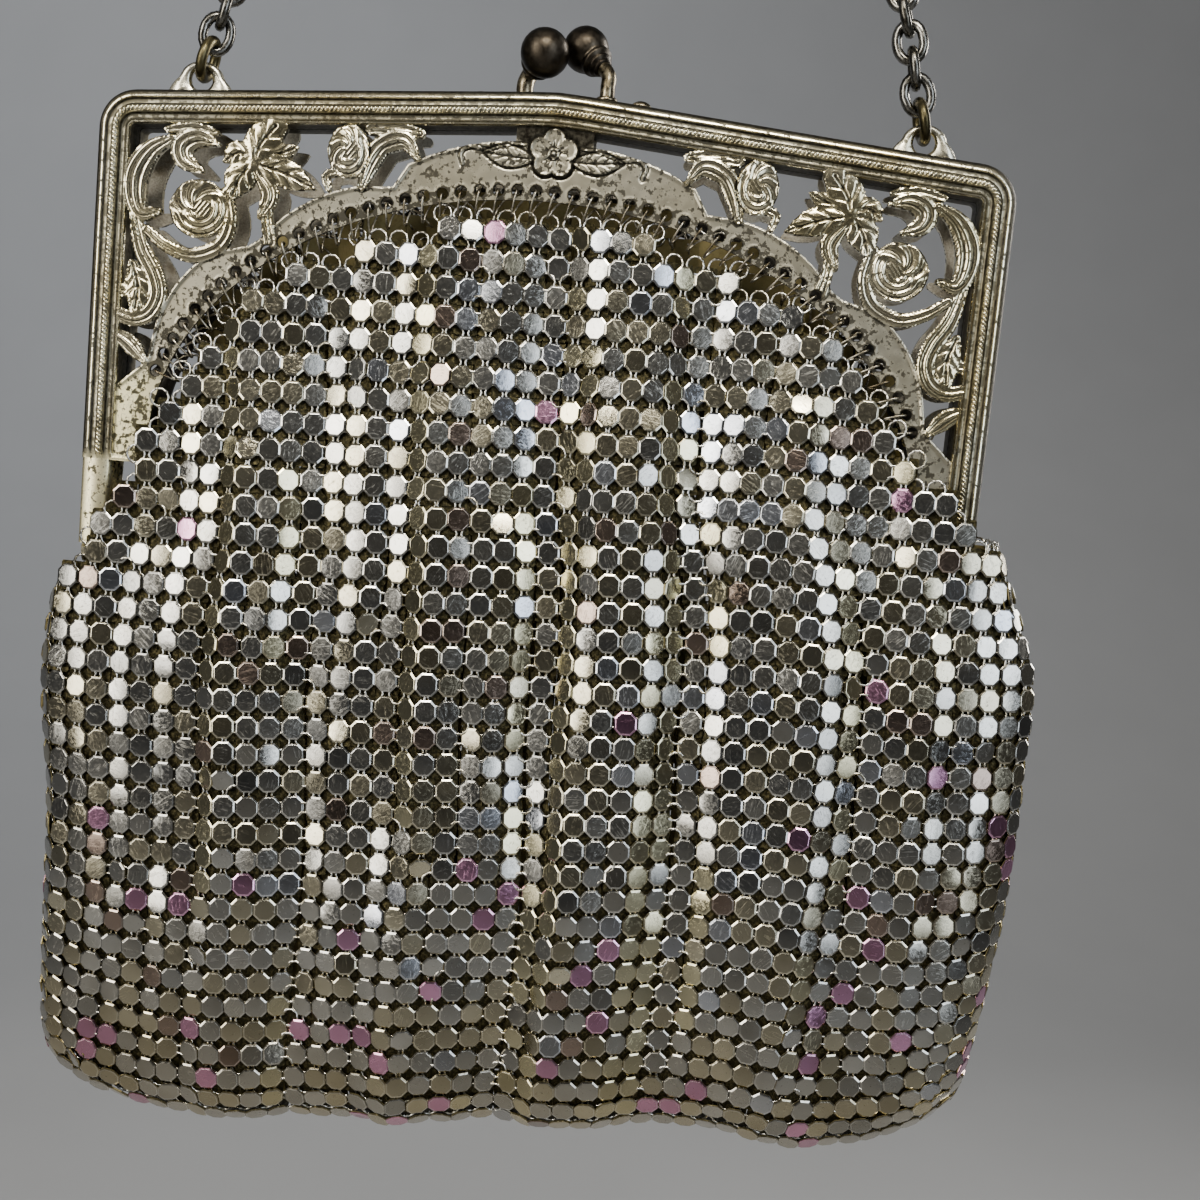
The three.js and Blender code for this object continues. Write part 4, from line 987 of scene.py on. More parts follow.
def outline_distance(x, height, outline):
    """Signed distance to a closed outline, positive inside."""
    flat = np.stack([x.ravel(), height.ravel()], 1)
    best = np.full(len(flat), 1e9)
    inside = np.zeros(len(flat), bool)
    for a, b in zip(outline, np.roll(outline, -1, 0)):
        run = b - a
        share = np.clip(((flat - a) @ run) / max(run @ run, 1e-12), 0, 1)
        best = np.minimum(best, np.linalg.norm(flat - a - share[:, None] * run, axis=1))
        crosses = (a[1] > flat[:, 1]) != (b[1] > flat[:, 1])
        where = a[0] + (flat[:, 1] - a[1]) * run[0] / (run[1] if abs(run[1]) > 1e-12 else 1e-12)
        inside ^= crosses & (flat[:, 0] < where)
    return np.where(inside, best, -best).reshape(x.shape)


def eyelets():
    """Centres of the eyelets along the arch from left to right, with the arch's outward direction."""
    angle = np.linspace(math.pi - 0.05, 0.05, 8000)
    half_width, rise = ARCH_HALF_WIDTH + EYELET_OUT, ARCH_RISE + EYELET_OUT
    path = np.stack([half_width * np.cos(angle), ARCH_FOOT + rise * np.sin(angle)], 1)
    length = lengths(path)
    first = (length[-1] / 2 + EYELET_PITCH / 4) % EYELET_PITCH
    at = np.arange(first, length[-1], EYELET_PITCH)
    centres, turn = points_at(at, length, path), np.interp(at, length, angle)
    outward = unit(np.stack([np.cos(turn) / half_width, np.sin(turn) / rise], 1))
    high = centres[:, 1] > EYELET_LOWEST
    return centres[high], outward[high]


def mouth_distance(x, height):
    """Distance from the arch's edge, as near as the relief needs it."""
    return np.abs(np.hypot(x / ARCH_HALF_WIDTH, (height - ARCH_FOOT) / ARCH_RISE) - 1) * ARCH_MEAN_RADIUS


def band_distance(x, height):
    """Signed distance to the edge of the arch band, its end plates and the centre tab."""
    edge = [(0.0, 0.6)]
    for px, ph, bulge in BAND_EDGE:
        edge += [tuple(p) for p in (arc(edge[-1], (px, ph), bulge, 14)[1:] if bulge else [(px, ph)])]
    angles = np.linspace(0, math.pi, 160)
    mouth = np.stack([ARCH_HALF_WIDTH * np.cos(angles), ARCH_FOOT + ARCH_RISE * np.sin(angles)], 1)
    edge = np.array(edge)
    return outline_distance(x, height, np.concatenate([(edge * (-1, 1))[::-1], edge[1:], mouth]))


def blurred(values, weight, radius):
    """Mean of values over a square of neighbours where weight is set."""
    def spread(field):
        for axis in (0, 1):
            total = np.zeros_like(field)
            for shift in range(-radius, radius + 1):
                total += np.roll(field, shift, axis)
            field = total
        return field
    return spread(values * weight) / np.maximum(spread(weight), 1e-6)


def petal_relief(x, height):
    """Relief of the five-petalled flower, where it is, and its dark lines."""
    reach = np.hypot(x, height - FLOWER_HEIGHT)
    relief, lines = np.zeros_like(x), np.zeros_like(x)
    there = np.full(x.shape, -1.0)
    for i in range(5):
        angle = math.pi / 2 + 2 * math.pi * i / 5
        out = np.array((math.cos(angle), math.sin(angle)))
        ahead = x * out[0] + (height - FLOWER_HEIGHT) * out[1] - 1.95
        aside = -x * out[1] + (height - FLOWER_HEIGHT) * out[0]
        distance = np.hypot(ahead * np.where(ahead > 0, 1.0, 0.8), aside * 0.94)
        inside = 1.5 - distance
        veins = sum(hump(aside, k * 0.36 * (ahead + 1.6), 0.1) for k in (-1, 0, 1))
        veins *= smooth(0.5, -0.9, ahead)
        petal = 0.3 * smooth(0, 0.2, inside) + 0.12 * hump(distance, 1.26, 0.16) - 0.2 * veins
        beside = hump(inside, 0.05, 0.1)
        relief = np.where(inside > there, petal, relief)
        lines = np.where(inside > there, np.maximum(veins, beside), lines)
        there = np.maximum(there, inside)
    eye = 0.5 * smooth(0.85, 0.62, reach) - 0.34 * hump(reach, 0.42, 0.13)
    relief = np.where(reach < 0.85, np.maximum(relief * smooth(0.5, 0.9, reach), eye), relief)
    rings = hump(reach, 0.42, 0.1) + hump(reach, 0.88, 0.1)
    lines = np.where(reach < 0.95, rings, lines)
    return relief, np.maximum(there, 0.85 - reach), lines


def scroll_head(x, height, centre, radii, crown, start, way):
    """Relief of a filled scroll head: ridges wound on one side, flutes swung on the other, a hatched eye."""
    across, upward = (x - centre[0]) / radii[0], (height - centre[1]) / radii[1]
    reach = np.hypot(across, upward)
    angle = way * np.arctan2(upward, across) - start
    size = (radii[0] + radii[1]) / 2
    wound = np.cos(2 * math.pi * (reach * size / 0.95 - angle / (2 * math.pi)))
    swung = np.cos(7 * (angle + 1.5 * reach))
    share = smooth(-0.5, 0.5, np.sin(angle))
    ridges = wound * share + swung * (1 - share)
    eye = smooth(0.36, 0.26, np.hypot(across + 0.12, upward - 0.02))
    hatch = 0.5 + 0.5 * np.cos(2 * math.pi * (across * radii[0] * 0.8 + upward * radii[1] * 0.6) / 0.52)
    dome = np.sqrt(np.clip(1 - reach ** 2, 0, 1))
    relief = SCROLL_EDGE + (crown - SCROLL_EDGE) * (0.4 + 0.6 * dome)
    relief += 0.13 * ridges * (1 - eye) - 0.12 * hatch * eye
    inside = (1 - reach) * size
    relief += 0.14 * hump(inside, 0.22, 0.14)
    lines = np.clip(-ridges, 0, 1) ** 3 * (1 - eye) + 0.6 * hatch ** 3 * eye
    return relief, inside, lines


def stroke_relief(x, height, points, widths, crown, lobes, lines, veins):
    """Relief of one stroke of the scroll work, the way in from its edge, and its dark lines."""
    path = smooth_path(points, 90)
    q, half, along = stroke_field(x, height, path, np.array(widths) * STROKE_FULLNESS, lobes)
    inside = (1 - np.abs(q)) * half
    dome = np.sqrt(np.clip(1 - q ** 2, 0, 1))
    relief = SCROLL_EDGE + (crown - SCROLL_EDGE) * (0.4 + 0.6 * dome)
    deep = smooth(0.06, 0.4, inside)
    cut = np.zeros_like(x)
    if lines:
        groove = 0.5 + 0.5 * np.cos(math.pi * lines * (q + 1))
        relief -= 0.19 * groove * deep
        cut = groove ** 3
    if veins:
        slant = np.clip(np.cos(2 * math.pi * (veins * along - 0.9 * np.abs(q))), 0, 1) ** 3
        middle = hump(q * half, 0, 0.17)
        relief -= (0.16 * slant + 0.28 * middle) * deep
        cut = np.maximum(0.7 * slant ** 2, middle)
    relief += 0.1 * hump(inside, 0.16, 0.12)
    return relief, inside, cut * deep


def tab_relief(x, height, band, face, lines_and_shade):
    """Adds the chased leaf, tendrils and flower of the centre tab; also says where the flower is."""
    q, half, along = stroke_field(x, height, smooth_path(TAB_LEAF[0], 70), TAB_LEAF[1])
    inside = (1 - np.abs(q)) * half
    veins = np.clip(np.cos(2 * math.pi * (5 * along - 1.2 * np.abs(q))), 0, 1) ** 3
    veins = veins * smooth(0.12, 0.4, inside)
    middle = hump(q, 0, 0.11)
    face = np.where(inside > 0, face + 0.26 * smooth(0, 0.18, inside) - 0.13 * veins - 0.2 * middle, face)
    beside = hump(inside, -0.12, 0.13) * (band > 0)
    face = face - 0.2 * beside
    lines_and_shade = np.maximum(lines_and_shade, np.where(inside > 0, np.maximum(0.7 * veins, middle), beside))
    for points, widths in TENDRILS:
        q, half, along = stroke_field(x, height, smooth_path(points, 60), widths)
        beside = hump((np.abs(q) - 1) * half, 0.1, 0.11) * ((np.abs(q) >= 1) & (band > 0))
        face = face + np.where(np.abs(q) < 1, 0.2 * (1 - q ** 2), 0) - 0.13 * beside
        lines_and_shade = np.maximum(lines_and_shade, 0.8 * beside)
    relief, flower, lines = petal_relief(x, height)
    outside = hump(flower, -0.13, 0.12) * ((flower <= 0) & (band > 0))
    face = np.where(flower > 0, PLATE_FRONT + 0.12 + relief, face) - 0.24 * outside
    return face, np.where(flower > 0, lines, np.maximum(lines_and_shade, outside)), flower


def panel_fields():
    """Relief of the pierced panel over a grid, where there is metal, and marks: tarnish in hollows and lines
    with painted shade round the eyelets, rubbed, plain.
    """
    across = np.arange(-60.2, 60.3, PANEL_STEP)
    upward = np.arange(RAIL_END - 0.4, 1.2, PANEL_STEP)
    whole_x, height = np.meshgrid(across, upward, indexing="ij")
    x = np.abs(whole_x)
    band, to_mouth = band_distance(x, height), mouth_distance(x, height)
    lip = 0.2 * hump(band, 0.25, 0.18) * smooth(1.6, 2.6, to_mouth) * smooth(5.6, 6.4, x)
    face = np.where(band > 0, PLATE_FRONT + lip, -9)
    lines_and_shade = np.zeros_like(x)
    metal = band.copy()
    for stroke in STROKES:
        relief, inside, cut = stroke_relief(x, height, *stroke)
        higher = (inside > 0) & (relief > face)
        face, lines_and_shade = np.where(higher, relief, face), np.where(higher, cut, lines_and_shade)
        metal = np.maximum(metal, inside)
    for head in SCROLL_HEADS:
        relief, inside, lines = scroll_head(x, height, *head)
        face = np.where(inside > 0, relief, face)
        lines_and_shade = np.where(inside > 0, lines * smooth(0.1, 0.4, inside), lines_and_shade)
        metal = np.maximum(metal, inside)
    face, lines_and_shade, flower = tab_relief(x, height, band, face, lines_and_shade)
    for centre in eyelets()[0]:
        reach = np.hypot(whole_x - centre[0], height - centre[1])
        face = face + np.where(metal > -0.5, 0.05 * hump(reach, 1.0, 0.12), 0)
        # Painted shade: a dark ring round each eyelet's hole.
        lines_and_shade = np.maximum(lines_and_shade, 0.8 * smooth(1.02, 0.88, reach))
        metal = np.minimum(metal, reach - EYELET_HOLE)
    beside_rail = FRAME_HALF_WIDTH - RAIL_WIDTH + 0.5 - x
    under_rail = (rail_top(x) - height) * math.cos(GABLE_SLOPE) - RAIL_WIDTH + 0.6
    metal = np.minimum(metal, np.minimum(beside_rail, under_rail))
    solid = (metal > 0).astype(float)
    hollow = np.clip((blurred(face, solid, 3) - face) / 0.17 - 0.14, 0, 1)
    patch = smooth(1.15, 0.85, np.hypot(x / 6.6, (height + 0.2) / 3.0)) * (flower < 0) * (band > 0)
    stitched = 0.3 * smooth(3.4, 1.4, to_mouth) * (band > 0)
    hollow = np.maximum.reduce([hollow, 0.9 * np.clip(lines_and_shade, 0, 1), 0.8 * patch, stitched]) * solid
    rubbed = smooth(49, 55, -whole_x) * smooth(35, 41, -height)
    plain = np.maximum(smooth(0.45, 0.15, np.abs(face - PLATE_FRONT)), smooth(14, 12, x)) * (band > 0)
    return across, upward, face, metal, np.stack([hollow, rubbed, plain], -1)


def panel_part():
    """The pierced panel as a closed plate: relief in front, flat behind, walls along every edge."""
    across, upward, face, metal, fields = panel_fields()
    inside = metal > 0
    number = -np.ones(metal.shape, int)
    number[inside] = np.arange(inside.sum())
    ix, ih = np.where(inside)
    points = [np.stack([across[ix], -face[ix, ih], upward[ih]], 1)]
    marks = [fields[ix, ih]]
    extra, crossings = [], {}

    def crossing(a, b):
        """The place where the edge of the metal cuts a grid line, shared by both cells beside it."""
        key = (a, b) if a < b else (b, a)
        if key not in crossings:
            (first, second) = (a, b) if inside[a] else (b, a)
            share = float(np.clip(metal[first] / (metal[first] - metal[second]), 0.02, 0.98))
            place = (across[first[0]] + (across[second[0]] - across[first[0]]) * share, -face[first],
                     upward[first[1]] + (upward[second[1]] - upward[first[1]]) * share)
            crossings[key] = len(ix) + len(extra)
            extra.append((place, fields[first]))
        return crossings[key]

    corners = inside[:-1, :-1].astype(int) + inside[1:, :-1] + inside[1:, 1:] + inside[:-1, 1:]
    faces = []
    for i, k in zip(*np.where(corners == 4)):
        faces.append((number[i, k], number[i + 1, k], number[i + 1, k + 1], number[i, k + 1]))
    rim = []
    for i, k in zip(*np.where((corners > 0) & (corners < 4))):
        cell = [(i, k), (i + 1, k), (i + 1, k + 1), (i, k + 1)]
        loop, cuts = [], []
        for a, b in zip(cell, cell[1:] + cell[:1]):
            if inside[a]:
                loop.append(number[a])
            if inside[a] != inside[b]:
                cuts.append((len(loop), inside[a]))
                loop.append(crossing(a, b))
        faces.append(tuple(loop))
        size = len(loop)
        for spot, leaving in cuts:
            if leaving:
                rim.append((loop[spot], loop[(spot + 1) % size]))
    points.append(np.array([place for place, _ in extra]))
    marks.append(np.array([mark for _, mark in extra]))
    points, marks = np.concatenate(points), np.concatenate(marks)
    follow = dict(rim)
    loops, left = [], set(follow)
    while left:
        start = left.pop()
        loop, spot = [start], follow[start]
        while spot != start and spot in left:
            left.discard(spot)
            loop.append(spot)
            spot = follow[spot]
        loops.append(loop)
    order = [v for loop in loops for v in loop]
    back_start = len(points)
    back = points[order].copy()
    back[:, 1] = -PANEL_BACK
    place_of = {v: back_start + n for n, v in enumerate(order)}
    for loop in loops:
        for a, b in zip(loop, loop[1:] + loop[:1]):
            faces.append((b, a, place_of[a], place_of[b]))
    flat = [[Vector((points[v][0], points[v][2], 0)) for v in loop] for loop in loops]
    polished = len(faces)
    for a, b, c in tessellate_polygon(flat):
        faces.append((back_start + a, back_start + b, back_start + c))
    points = np.concatenate([points, back])
    # Painted shade: the back face and the walls' back edges are marked to go dark near the mouth.
    shade = smooth(4.0, 2.6, mouth_distance(back[:, 0], back[:, 2]))[:, None] * (1, 0, 0)
    return (points, faces), np.concatenate([marks, shade]), polished


# One turn of the lacing: share of the pitch, drop from the eyelet, depth
LACING_TURN = [
    (0.0, 0.15, 2.5), (0.0, 0.05, 3.3), (-0.02, 0.2, 3.85), (-0.10, 0.9, 3.95), (-0.2, 1.9, 3.75),
    (-0.3, 2.9, 3.3), (-0.33, 3.35, 2.7), (-0.28, 3.2, 2.1), (-0.1, 2.2, 1.85), (0.3, 1.0, 1.9),
    (0.75, 0.4, 2.1),
]
LACING_WIRE = 0.16
LUG_FLARE, LUG_EYE_EXTRA, LUG_TOP_EXTRA = 0.9, 0.7, 0.1
LUG_HOLLOW, LUG_BEVEL = -0.3, 0.4
FOOT_EXTRA = 2.2


def lacing_path():
    """The wire that runs round and round through the eyelets and the mesh's first rings."""
    centres, outward = eyelets()
    index = np.arange(len(centres))
    share, drop, depth = np.array(LACING_TURN).T
    turns = (index[:, None] + share).ravel()
    drops, depths = np.tile(drop, len(index))[:, None], np.tile(depth, len(index))
    knots = points_at(turns, index, centres) - points_at(turns, index, outward) * drops
    return catmull(np.insert(knots, 1, -depths, axis=1), 2)


def plate_with_hole(outline, centre, hole, front, back, bevel):
    """A flat plate in the upright plane with one round hole and softened edges."""
    count = 56
    closed = np.vstack([outline, outline[:1]])
    length = lengths(closed)
    outer = points_at(np.linspace(0, length[-1], count, endpoint=False), length, closed)
    turn = np.arctan2(outer[0, 1] - centre[1], outer[0, 0] - centre[0]) + full_turn(count)
    inner = np.array(centre) + hole * np.stack([np.cos(turn), np.sin(turn)], 1)
    inward = unit(inner - outer) * bevel
    rings = []
    for edge, depth in ((outer + inward, back), (outer, back + bevel), (outer, front - bevel),
                        (outer + inward, front), (inner - inward, front), (inner, front - bevel),
                        (inner, back + bevel), (inner - inward, back)):
        rings.append(np.insert(edge, 1, -depth, axis=1))
    return shell(rings, closed=True)


def lug_part(x):
    """Ogee lug with a round hole, soldered to the back half."""
    base = rail_top(LUG_X) - 0.6
    head = [((LUG_RADIUS + LUG_EYE_EXTRA) * math.cos(a),
             LUG_HOLE_HEIGHT + (LUG_RADIUS + LUG_TOP_EXTRA) * math.sin(a))
            for a in np.radians(np.linspace(6, 174, 18))]
    right = arc((LUG_HALF_BASE + LUG_FLARE, base), head[0], LUG_HOLLOW, 8)[:-1]
    left = (right * (-1, 1))[::-1]
    outline = np.concatenate([right, head, left]) + (x, 0)
    return plate_with_hole(outline, (x, LUG_HOLE_HEIGHT), LUG_HOLE_RADIUS, LUG_FRONT, LUG_BACK, LUG_BEVEL)


def rail_foot_parts():
    """Plain lower ends of the rails and the hinge tongues of one half."""
    low = END_FOOT - FOOT_EXTRA
    outline = [(FRAME_HALF_WIDTH, END_TOP), (FRAME_HALF_WIDTH, low), (END_INNER + 0.5, low),
               (END_INNER, END_TOP)]
    middle = np.mean(outline, 0)[0]
    parts = []
    for side, tongue_x in ((1, 59.9), (-1, -61.6)):
        rings = []
        for inset, depth in ((0.25, GAP / 2), (0, 0.4), (0, 1.5), (0.06, 2.1), (0.25, 2.6), (0.7, END_FRONT)):
            rings.append([(side * (x + np.sign(middle - x) * inset), -depth, h) for x, h in outline])
        parts.append(shell(rings))
        path = [(tongue_x, y, h) for y, h in ((-2.2, -58.5), (-2.0, -61.5), (-1.2, -63.0), (0, HINGE_HEIGHT))]
        parts.append(tube(path, np.array([0.68, 0.68, 0.7, 0.7]), 10))
    return parts


def build_frame():
    """Both halves of the frame: rail, panel, rope bead and lacing, and the lugs on the back half."""
    rail, rail_tarnish_and_shade, rail_rubs = rail_part()
    panel, panel_marks, polished = panel_part()
    hollow, rubbed, plain = panel_marks.T
    inner_side = (np.arange(len(panel[1])) >= polished).astype(int)
    places, axes = rope_places()
    rope = rope_pattern()
    feet = join(rail_foot_parts())
    body = join([rail, feet])
    body_tarnish_and_shade = np.concatenate([rail_tarnish_and_shade, np.full(len(feet[0]), 0.1)])
    body_rubs = np.concatenate([rail_rubs, np.full(len(feet[0]), 0.8)])
    lacing = tube(lacing_path(), LACING_WIRE, 5)
    for name, shape, way in (("front", lambda part: part, np.ones(3)),
                             ("back", turned_round, np.array((-1, -1, 1)))):
        node = f"frame_{name}"
        mesh = make_mesh(f"{node}_rail", shape(body), RAIL_SILVER, hollow=body_tarnish_and_shade, rubbed=body_rubs)
        face_out(mesh)
        mesh.set_sharp_from_angle(angle=RAIL_CREASE)
        ride_along(mesh, "silver_plate", node)
        mesh = make_mesh(f"{node}_panel", shape(panel), FRAME_SILVER,
                         hollow=hollow, rubbed=rubbed, plain=plain)
        mesh.materials.append(RAW_BACK)
        mesh.polygons.foreach_set("material_index", inner_side)
        face_out(mesh)
        mesh.set_sharp_from_angle(angle=PANEL_CREASE)
        ride_along(mesh, "silver_plate", node)
        copies = scatter(f"{node}_rope", places * way, tuple(a * way for a in axes), rope, RAIL_SILVER,
                         ROPE_WOBBLE, 21)
        ride_along(copies, "silver_plate", node)
        ride_along(make_mesh(f"{node}_lacing", shape(lacing), LACING), "silver_plate", node)
    for name, x in (("left", -LUG_X), ("right", LUG_X)):
        lug = turned_round(lug_part(-x))
        mesh = make_mesh(f"chain_lug_{name}", lug, LUG_SILVER, rubbed=np.full(len(lug[0]), 0.15))
        face_out(mesh)
        ride_along(mesh, "silver_plate", "frame_back")


# Clasp, rings, chain
CLASPS = [
    # half, side, foot, ball, its radius, neck, post radius
    ("front", 1, 6.4, (2.7, 2.25, 11.8), 3.2, (6.1, -0.5, 8.4), 1.02),
    ("back", -1, 5.2, (-2.5, -2.25, 9.9), 3.35, (-4.6, 1.7, 8.0), 1.18),
]
# Turned profiles: radius and way along
POST_BASE = [(1.5, -0.25), (1.5, 0.1), (1.25, 0.32), (0.95, 0.4)]
COLLAR = [(0.6, -4.7), (1.12, -4.65), (1.38, -4.5), (1.4, -4.25), (1.24, -4.1), (1.28, -4.02), (1.72, -3.92),
          (1.82, -3.7), (1.78, -3.5), (1.64, -3.4), (1.7, -3.3), (2.2, -3.2), (2.3, -2.95), (2.24, -2.7)]
RIVET_DOME = [(1.0, 0.0), (0.99, 0.12), (0.9, 0.36), (0.7, 0.66), (0.4, 0.9), (0.0, 1.0)]
RIVET_SIZE = (1.35, 0.95, 0.75)
UPRIGHT = np.array((0, 0, 1))


def build_clasp():
    """Post, collar, ball and rivet of both halves of the clasp."""
    for half, side, foot_x, ball, radius, neck, wire in CLASPS:
        foot = np.array((side * foot_x, -side * POST_DEPTH, rail_top(foot_x) + 0.05))
        ball, neck = np.array(ball), np.array(neck)
        post = tube(catmull([foot, foot + 1.7 * UPRIGHT, neck, ball], 9)[:-5], wire, 16)
        base = lathe(POST_BASE, foot, UPRIGHT, 20)
        mesh = make_mesh(f"clasp_{half}_post", join([post, base]), POST_SILVER)
        ride_along(mesh, "clasp_gunmetal", f"clasp_{half}")
        sphere = [(radius * math.sin(a), -radius * math.cos(a)) for a in np.radians(np.linspace(40, 180, 22))]
        mesh = make_mesh(f"clasp_{half}_ball", lathe(COLLAR + sphere, ball, ball - neck, 36), CLASP_DARK)
        ride_along(mesh, "clasp_gunmetal", f"clasp_{half}")
        points, faces = lathe(RIVET_DOME, (0, 0, 0), UPRIGHT, 24)
        x, y, z = (points * RIVET_SIZE).T
        rise, run = math.sin(side * GABLE_SLOPE), math.cos(side * GABLE_SLOPE)
        points = np.stack([x * run + z * rise, y, -x * rise + z * run], 1)
        points += (side * RIVET_X, -side * POST_DEPTH, rail_top(RIVET_X) - 0.02)
        mesh = make_mesh(f"rivet_{half}", (points, faces), POST_SILVER)
        ride_along(mesh, "clasp_gunmetal", f"clasp_rivet_{half}")


LINK_PITCH = 3.5
LINK_HALF_LENGTH = 2.45
LINK_HALF_WIDTH = 1.825
LINK_WIRE = 0.7
LINK_WOBBLE = math.radians(3)


def link_pattern():
    """One oval link of the chain."""
    angles = full_turn(20)
    path = np.stack([LINK_HALF_WIDTH * np.sign(np.cos(angles)) * np.abs(np.cos(angles)) ** 0.85,
                     LINK_HALF_LENGTH * np.sin(angles), 0 * angles], 1)
    return pattern_mesh("one_link", tube(path, LINK_WIRE, 8, closed=True))


def chain_path():
    """The chain's line in the bag's own heights, from the right jump ring over the bend to the left one."""
    right = []
    start = np.array((CHAIN_END_X, CHAIN_END_Z))
    top = np.array((LEG_TOP_X, LEG_TOP_Z))
    for share in np.linspace(0, 1, 40):
        place = start + (top - start) * share
        right.append((place[0], CHAIN_Y * (1 - share), place[1] - CORNER_Z))
    for angle in np.linspace(CHAIN_LEAN, math.pi / 2, 12)[1:]:
        right.append((CHAIN_BEND * math.cos(angle), 0, BEND_CENTRE + CHAIN_BEND * math.sin(angle) - CORNER_Z))
    return np.array(right + [(-x, y, z) for x, y, z in reversed(right[:-1])])


def build_chain():
    """The chain's links and the two jump rings."""
    path = chain_path()
    length = lengths(path)
    links = int(round(length[-1] / LINK_PITCH))
    places = points_at(np.linspace(0, length[-1], links), length, path)
    along = unit(np.gradient(places, axis=0))
    level = np.array((0.0, 1.0, 0.0))
    turn = np.arange(links) * math.pi / 2 + 0.35 * np.sin(np.arange(links) * 0.37)
    across = circle(turn, unit(np.cross(along, level)), level)
    copies = scatter("chain_links", places, (across, along, np.cross(across, along)), link_pattern(),
                     CHAIN_STEEL, LINK_WOBBLE, 17)
    ride_along(copies, "chain_steel", "chain_handle")
    for name, side in (("right", 1), ("left", -1)):
        up = np.array((-side * math.sin(CHAIN_LEAN), 0, math.cos(CHAIN_LEAN)))
        centre = np.array((side * LUG_X, CHAIN_Y, RING_BOTTOM)) + up * RING_RADIUS
        ring = centre + RING_RADIUS * circle(np.radians(np.linspace(100, 452, 60)), level, up)
        mesh = make_mesh(f"ring_{name}", tube(ring, RING_WIRE, 12), JUMP_BRONZE)
        ride_along(mesh, "ring_bronze", f"jump_ring_{name}")


# Camera, light and stage
CAMERA_PLACE = (18.9, -213.77, -38.88)
CAMERA_YAW, CAMERA_PITCH, CAMERA_ROLL = -1.867, -6.832, 5.405
FLOOR_Z, WALL_Y, STAGE_REACH, STAGE_BEND = -0.6, 1.9, 7.0, 1.1
BAG_MIDDLE = (0, 0, -0.2)
LIGHTS = [
    # name, place, aim, size, power, colour, spread in degrees
    ("window", (-0.62, -0.72, 0.02), BAG_MIDDLE, (0.3, 1.14), 1.95, (1.0, 0.96, 0.88), 80),
    ("side_window", (0.66, -0.72, -0.03), BAG_MIDDLE, (0.3, 1.08), 1.0, (0.80, 0.89, 1.0), 80),
    ("lamp", (0.05, -0.62, 0.42), BAG_MIDDLE, (0.4, 0.2), 1.5, (1.0, 0.95, 0.85), 80),
    ("wall_lamp", (-0.9, 0.6, 1.1), (-0.5, 1.9, 0.05), (1.2, 0.4), 8.0, (0.96, 0.98, 1.0), 140),
    ("floor_lamp", (0, -0.9, 1.2), (0, -0.9, -0.6), (0.6, 0.6), 0.7, (1.0, 0.93, 0.8), 60),
    ("rear_window", (0.95, 0.75, 0.15), BAG_MIDDLE, (0.25, 0.8), 2.6, (1.0, 0.97, 0.92), 80),
]


def build_camera():
    """The photo's point of view, fitted to the frame's corners."""
    yaw, pitch, roll = (math.radians(a) for a in (CAMERA_YAW, CAMERA_PITCH, CAMERA_ROLL))
    rest = np.array([[1, 0, 0], [0, 0, 1], [0, 1, 0.0]])
    yawed = np.array([[math.cos(yaw), -math.sin(yaw), 0], [math.sin(yaw), math.cos(yaw), 0], [0, 0, 1]])
    pitched = np.array([[1, 0, 0], [0, math.cos(pitch), math.sin(pitch)],
                        [0, -math.sin(pitch), math.cos(pitch)]])
    rolled = np.array([[math.cos(roll), math.sin(roll), 0], [-math.sin(roll), math.cos(roll), 0], [0, 0, 1]])
    right, up, ahead = rolled @ rest @ pitched @ yawed
    data = bpy.data.cameras.new("camera")
    data.lens, data.sensor_width, data.clip_start = 45.0, 36.0, 0.01
    camera = bpy.data.objects.new("camera", data)
    bpy.context.scene.collection.objects.link(camera)
    place = Matrix(np.stack([right, up, -ahead], 1).tolist()).to_4x4()
    place.translation = Vector(to_metres([CAMERA_PLACE])[0])
    camera.matrix_world = place
    bpy.context.scene.camera = camera


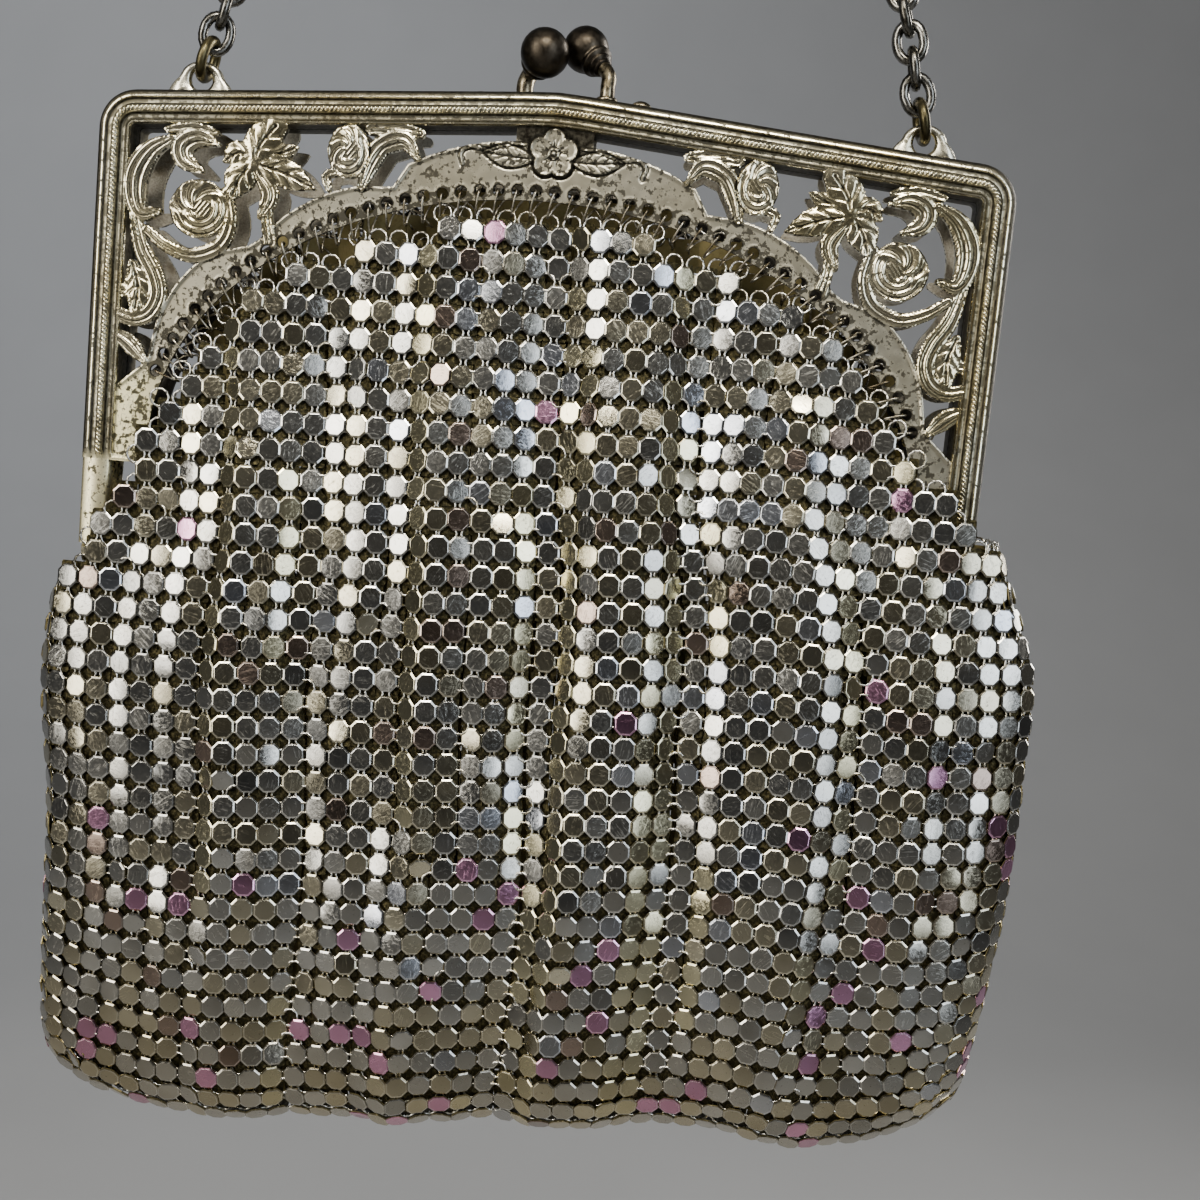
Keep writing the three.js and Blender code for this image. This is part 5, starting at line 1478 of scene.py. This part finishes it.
def area_light(name, place, aim, size, power, colour, spread):
    """A soft rectangular light turned to its aim."""
    data = bpy.data.lights.new(name, "AREA")
    data.shape = "RECTANGLE"
    data.size, data.size_y = size
    data.energy = power
    data.color = colour
    data.spread = math.radians(spread)
    light = bpy.data.objects.new(name, data)
    bpy.context.scene.collection.objects.link(light)
    light.location = place
    light.rotation_euler = (Vector(aim) - Vector(place)).to_track_quat("-Z", "Y").to_euler()


def build_room():
    """Dim soft surroundings, a little lighter above, uneven as a room is."""
    world = bpy.data.worlds.new("room")
    world.use_nodes = True
    tree = world.node_tree
    wire = Wiring(tree, add_node(tree, "ShaderNodeTexCoord").outputs["Generated"])
    parts = wire.node("SeparateXYZ", {"Vector": wire.place})
    light = wire.blend(wire.span(parts.outputs["Z"], -0.5, 0.7), (0.05, 0.046, 0.036), (0.145, 0.144, 0.142))
    uneven = wire.span(wire.noise(1.9, 3, 0.6), 0.35, 0.68)
    light = wire.blend(uneven, light, (0.7, 0.69, 0.68), "MULTIPLY")
    feed(tree, light, tree.nodes["Background"].inputs["Color"])
    tree.nodes["Background"].inputs["Strength"].default_value = 1.0
    bpy.context.scene.world = world


def build_stage():
    """A pale floor that bends up into the wall, and the lights."""
    finish, wire = new_finish("pale floor")
    pale = wire.blend(wire.noise(0.01, 2), (0.46, 0.465, 0.475), (0.50, 0.505, 0.515))
    wire.coat(pale, 0.9, metallic=0.0)
    rows = [(-STAGE_REACH, FLOOR_Z)]
    for angle in np.radians(np.linspace(-90, 0, 13)):
        rows.append((WALL_Y - STAGE_BEND + STAGE_BEND * math.cos(angle),
                     FLOOR_Z + STAGE_BEND + STAGE_BEND * math.sin(angle)))
    rows.append((WALL_Y, STAGE_REACH))
    points = np.array([(x, y, z) for y, z in rows for x in (-STAGE_REACH, STAGE_REACH)])
    faces = [(2 * i, 2 * i + 1, 2 * i + 3, 2 * i + 2) for i in range(len(rows) - 1)]
    mesh = new_mesh("floor", points, faces, {})
    mesh.materials.append(finish)
    floor = bpy.data.objects.new("floor", mesh)
    bpy.context.scene.collection.objects.link(floor)
    for light in LIGHTS:
        area_light(*light)


build_room()
build_camera()
build_stage()
build_mesh()
build_frame()
build_clasp()
build_chain()
for pin in ("hinge_pin_left", "hinge_pin_right"):
    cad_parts[pin].data.materials.clear()
    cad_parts[pin].data.materials.append(RAIL_SILVER)

bpy.context.view_layer.update()
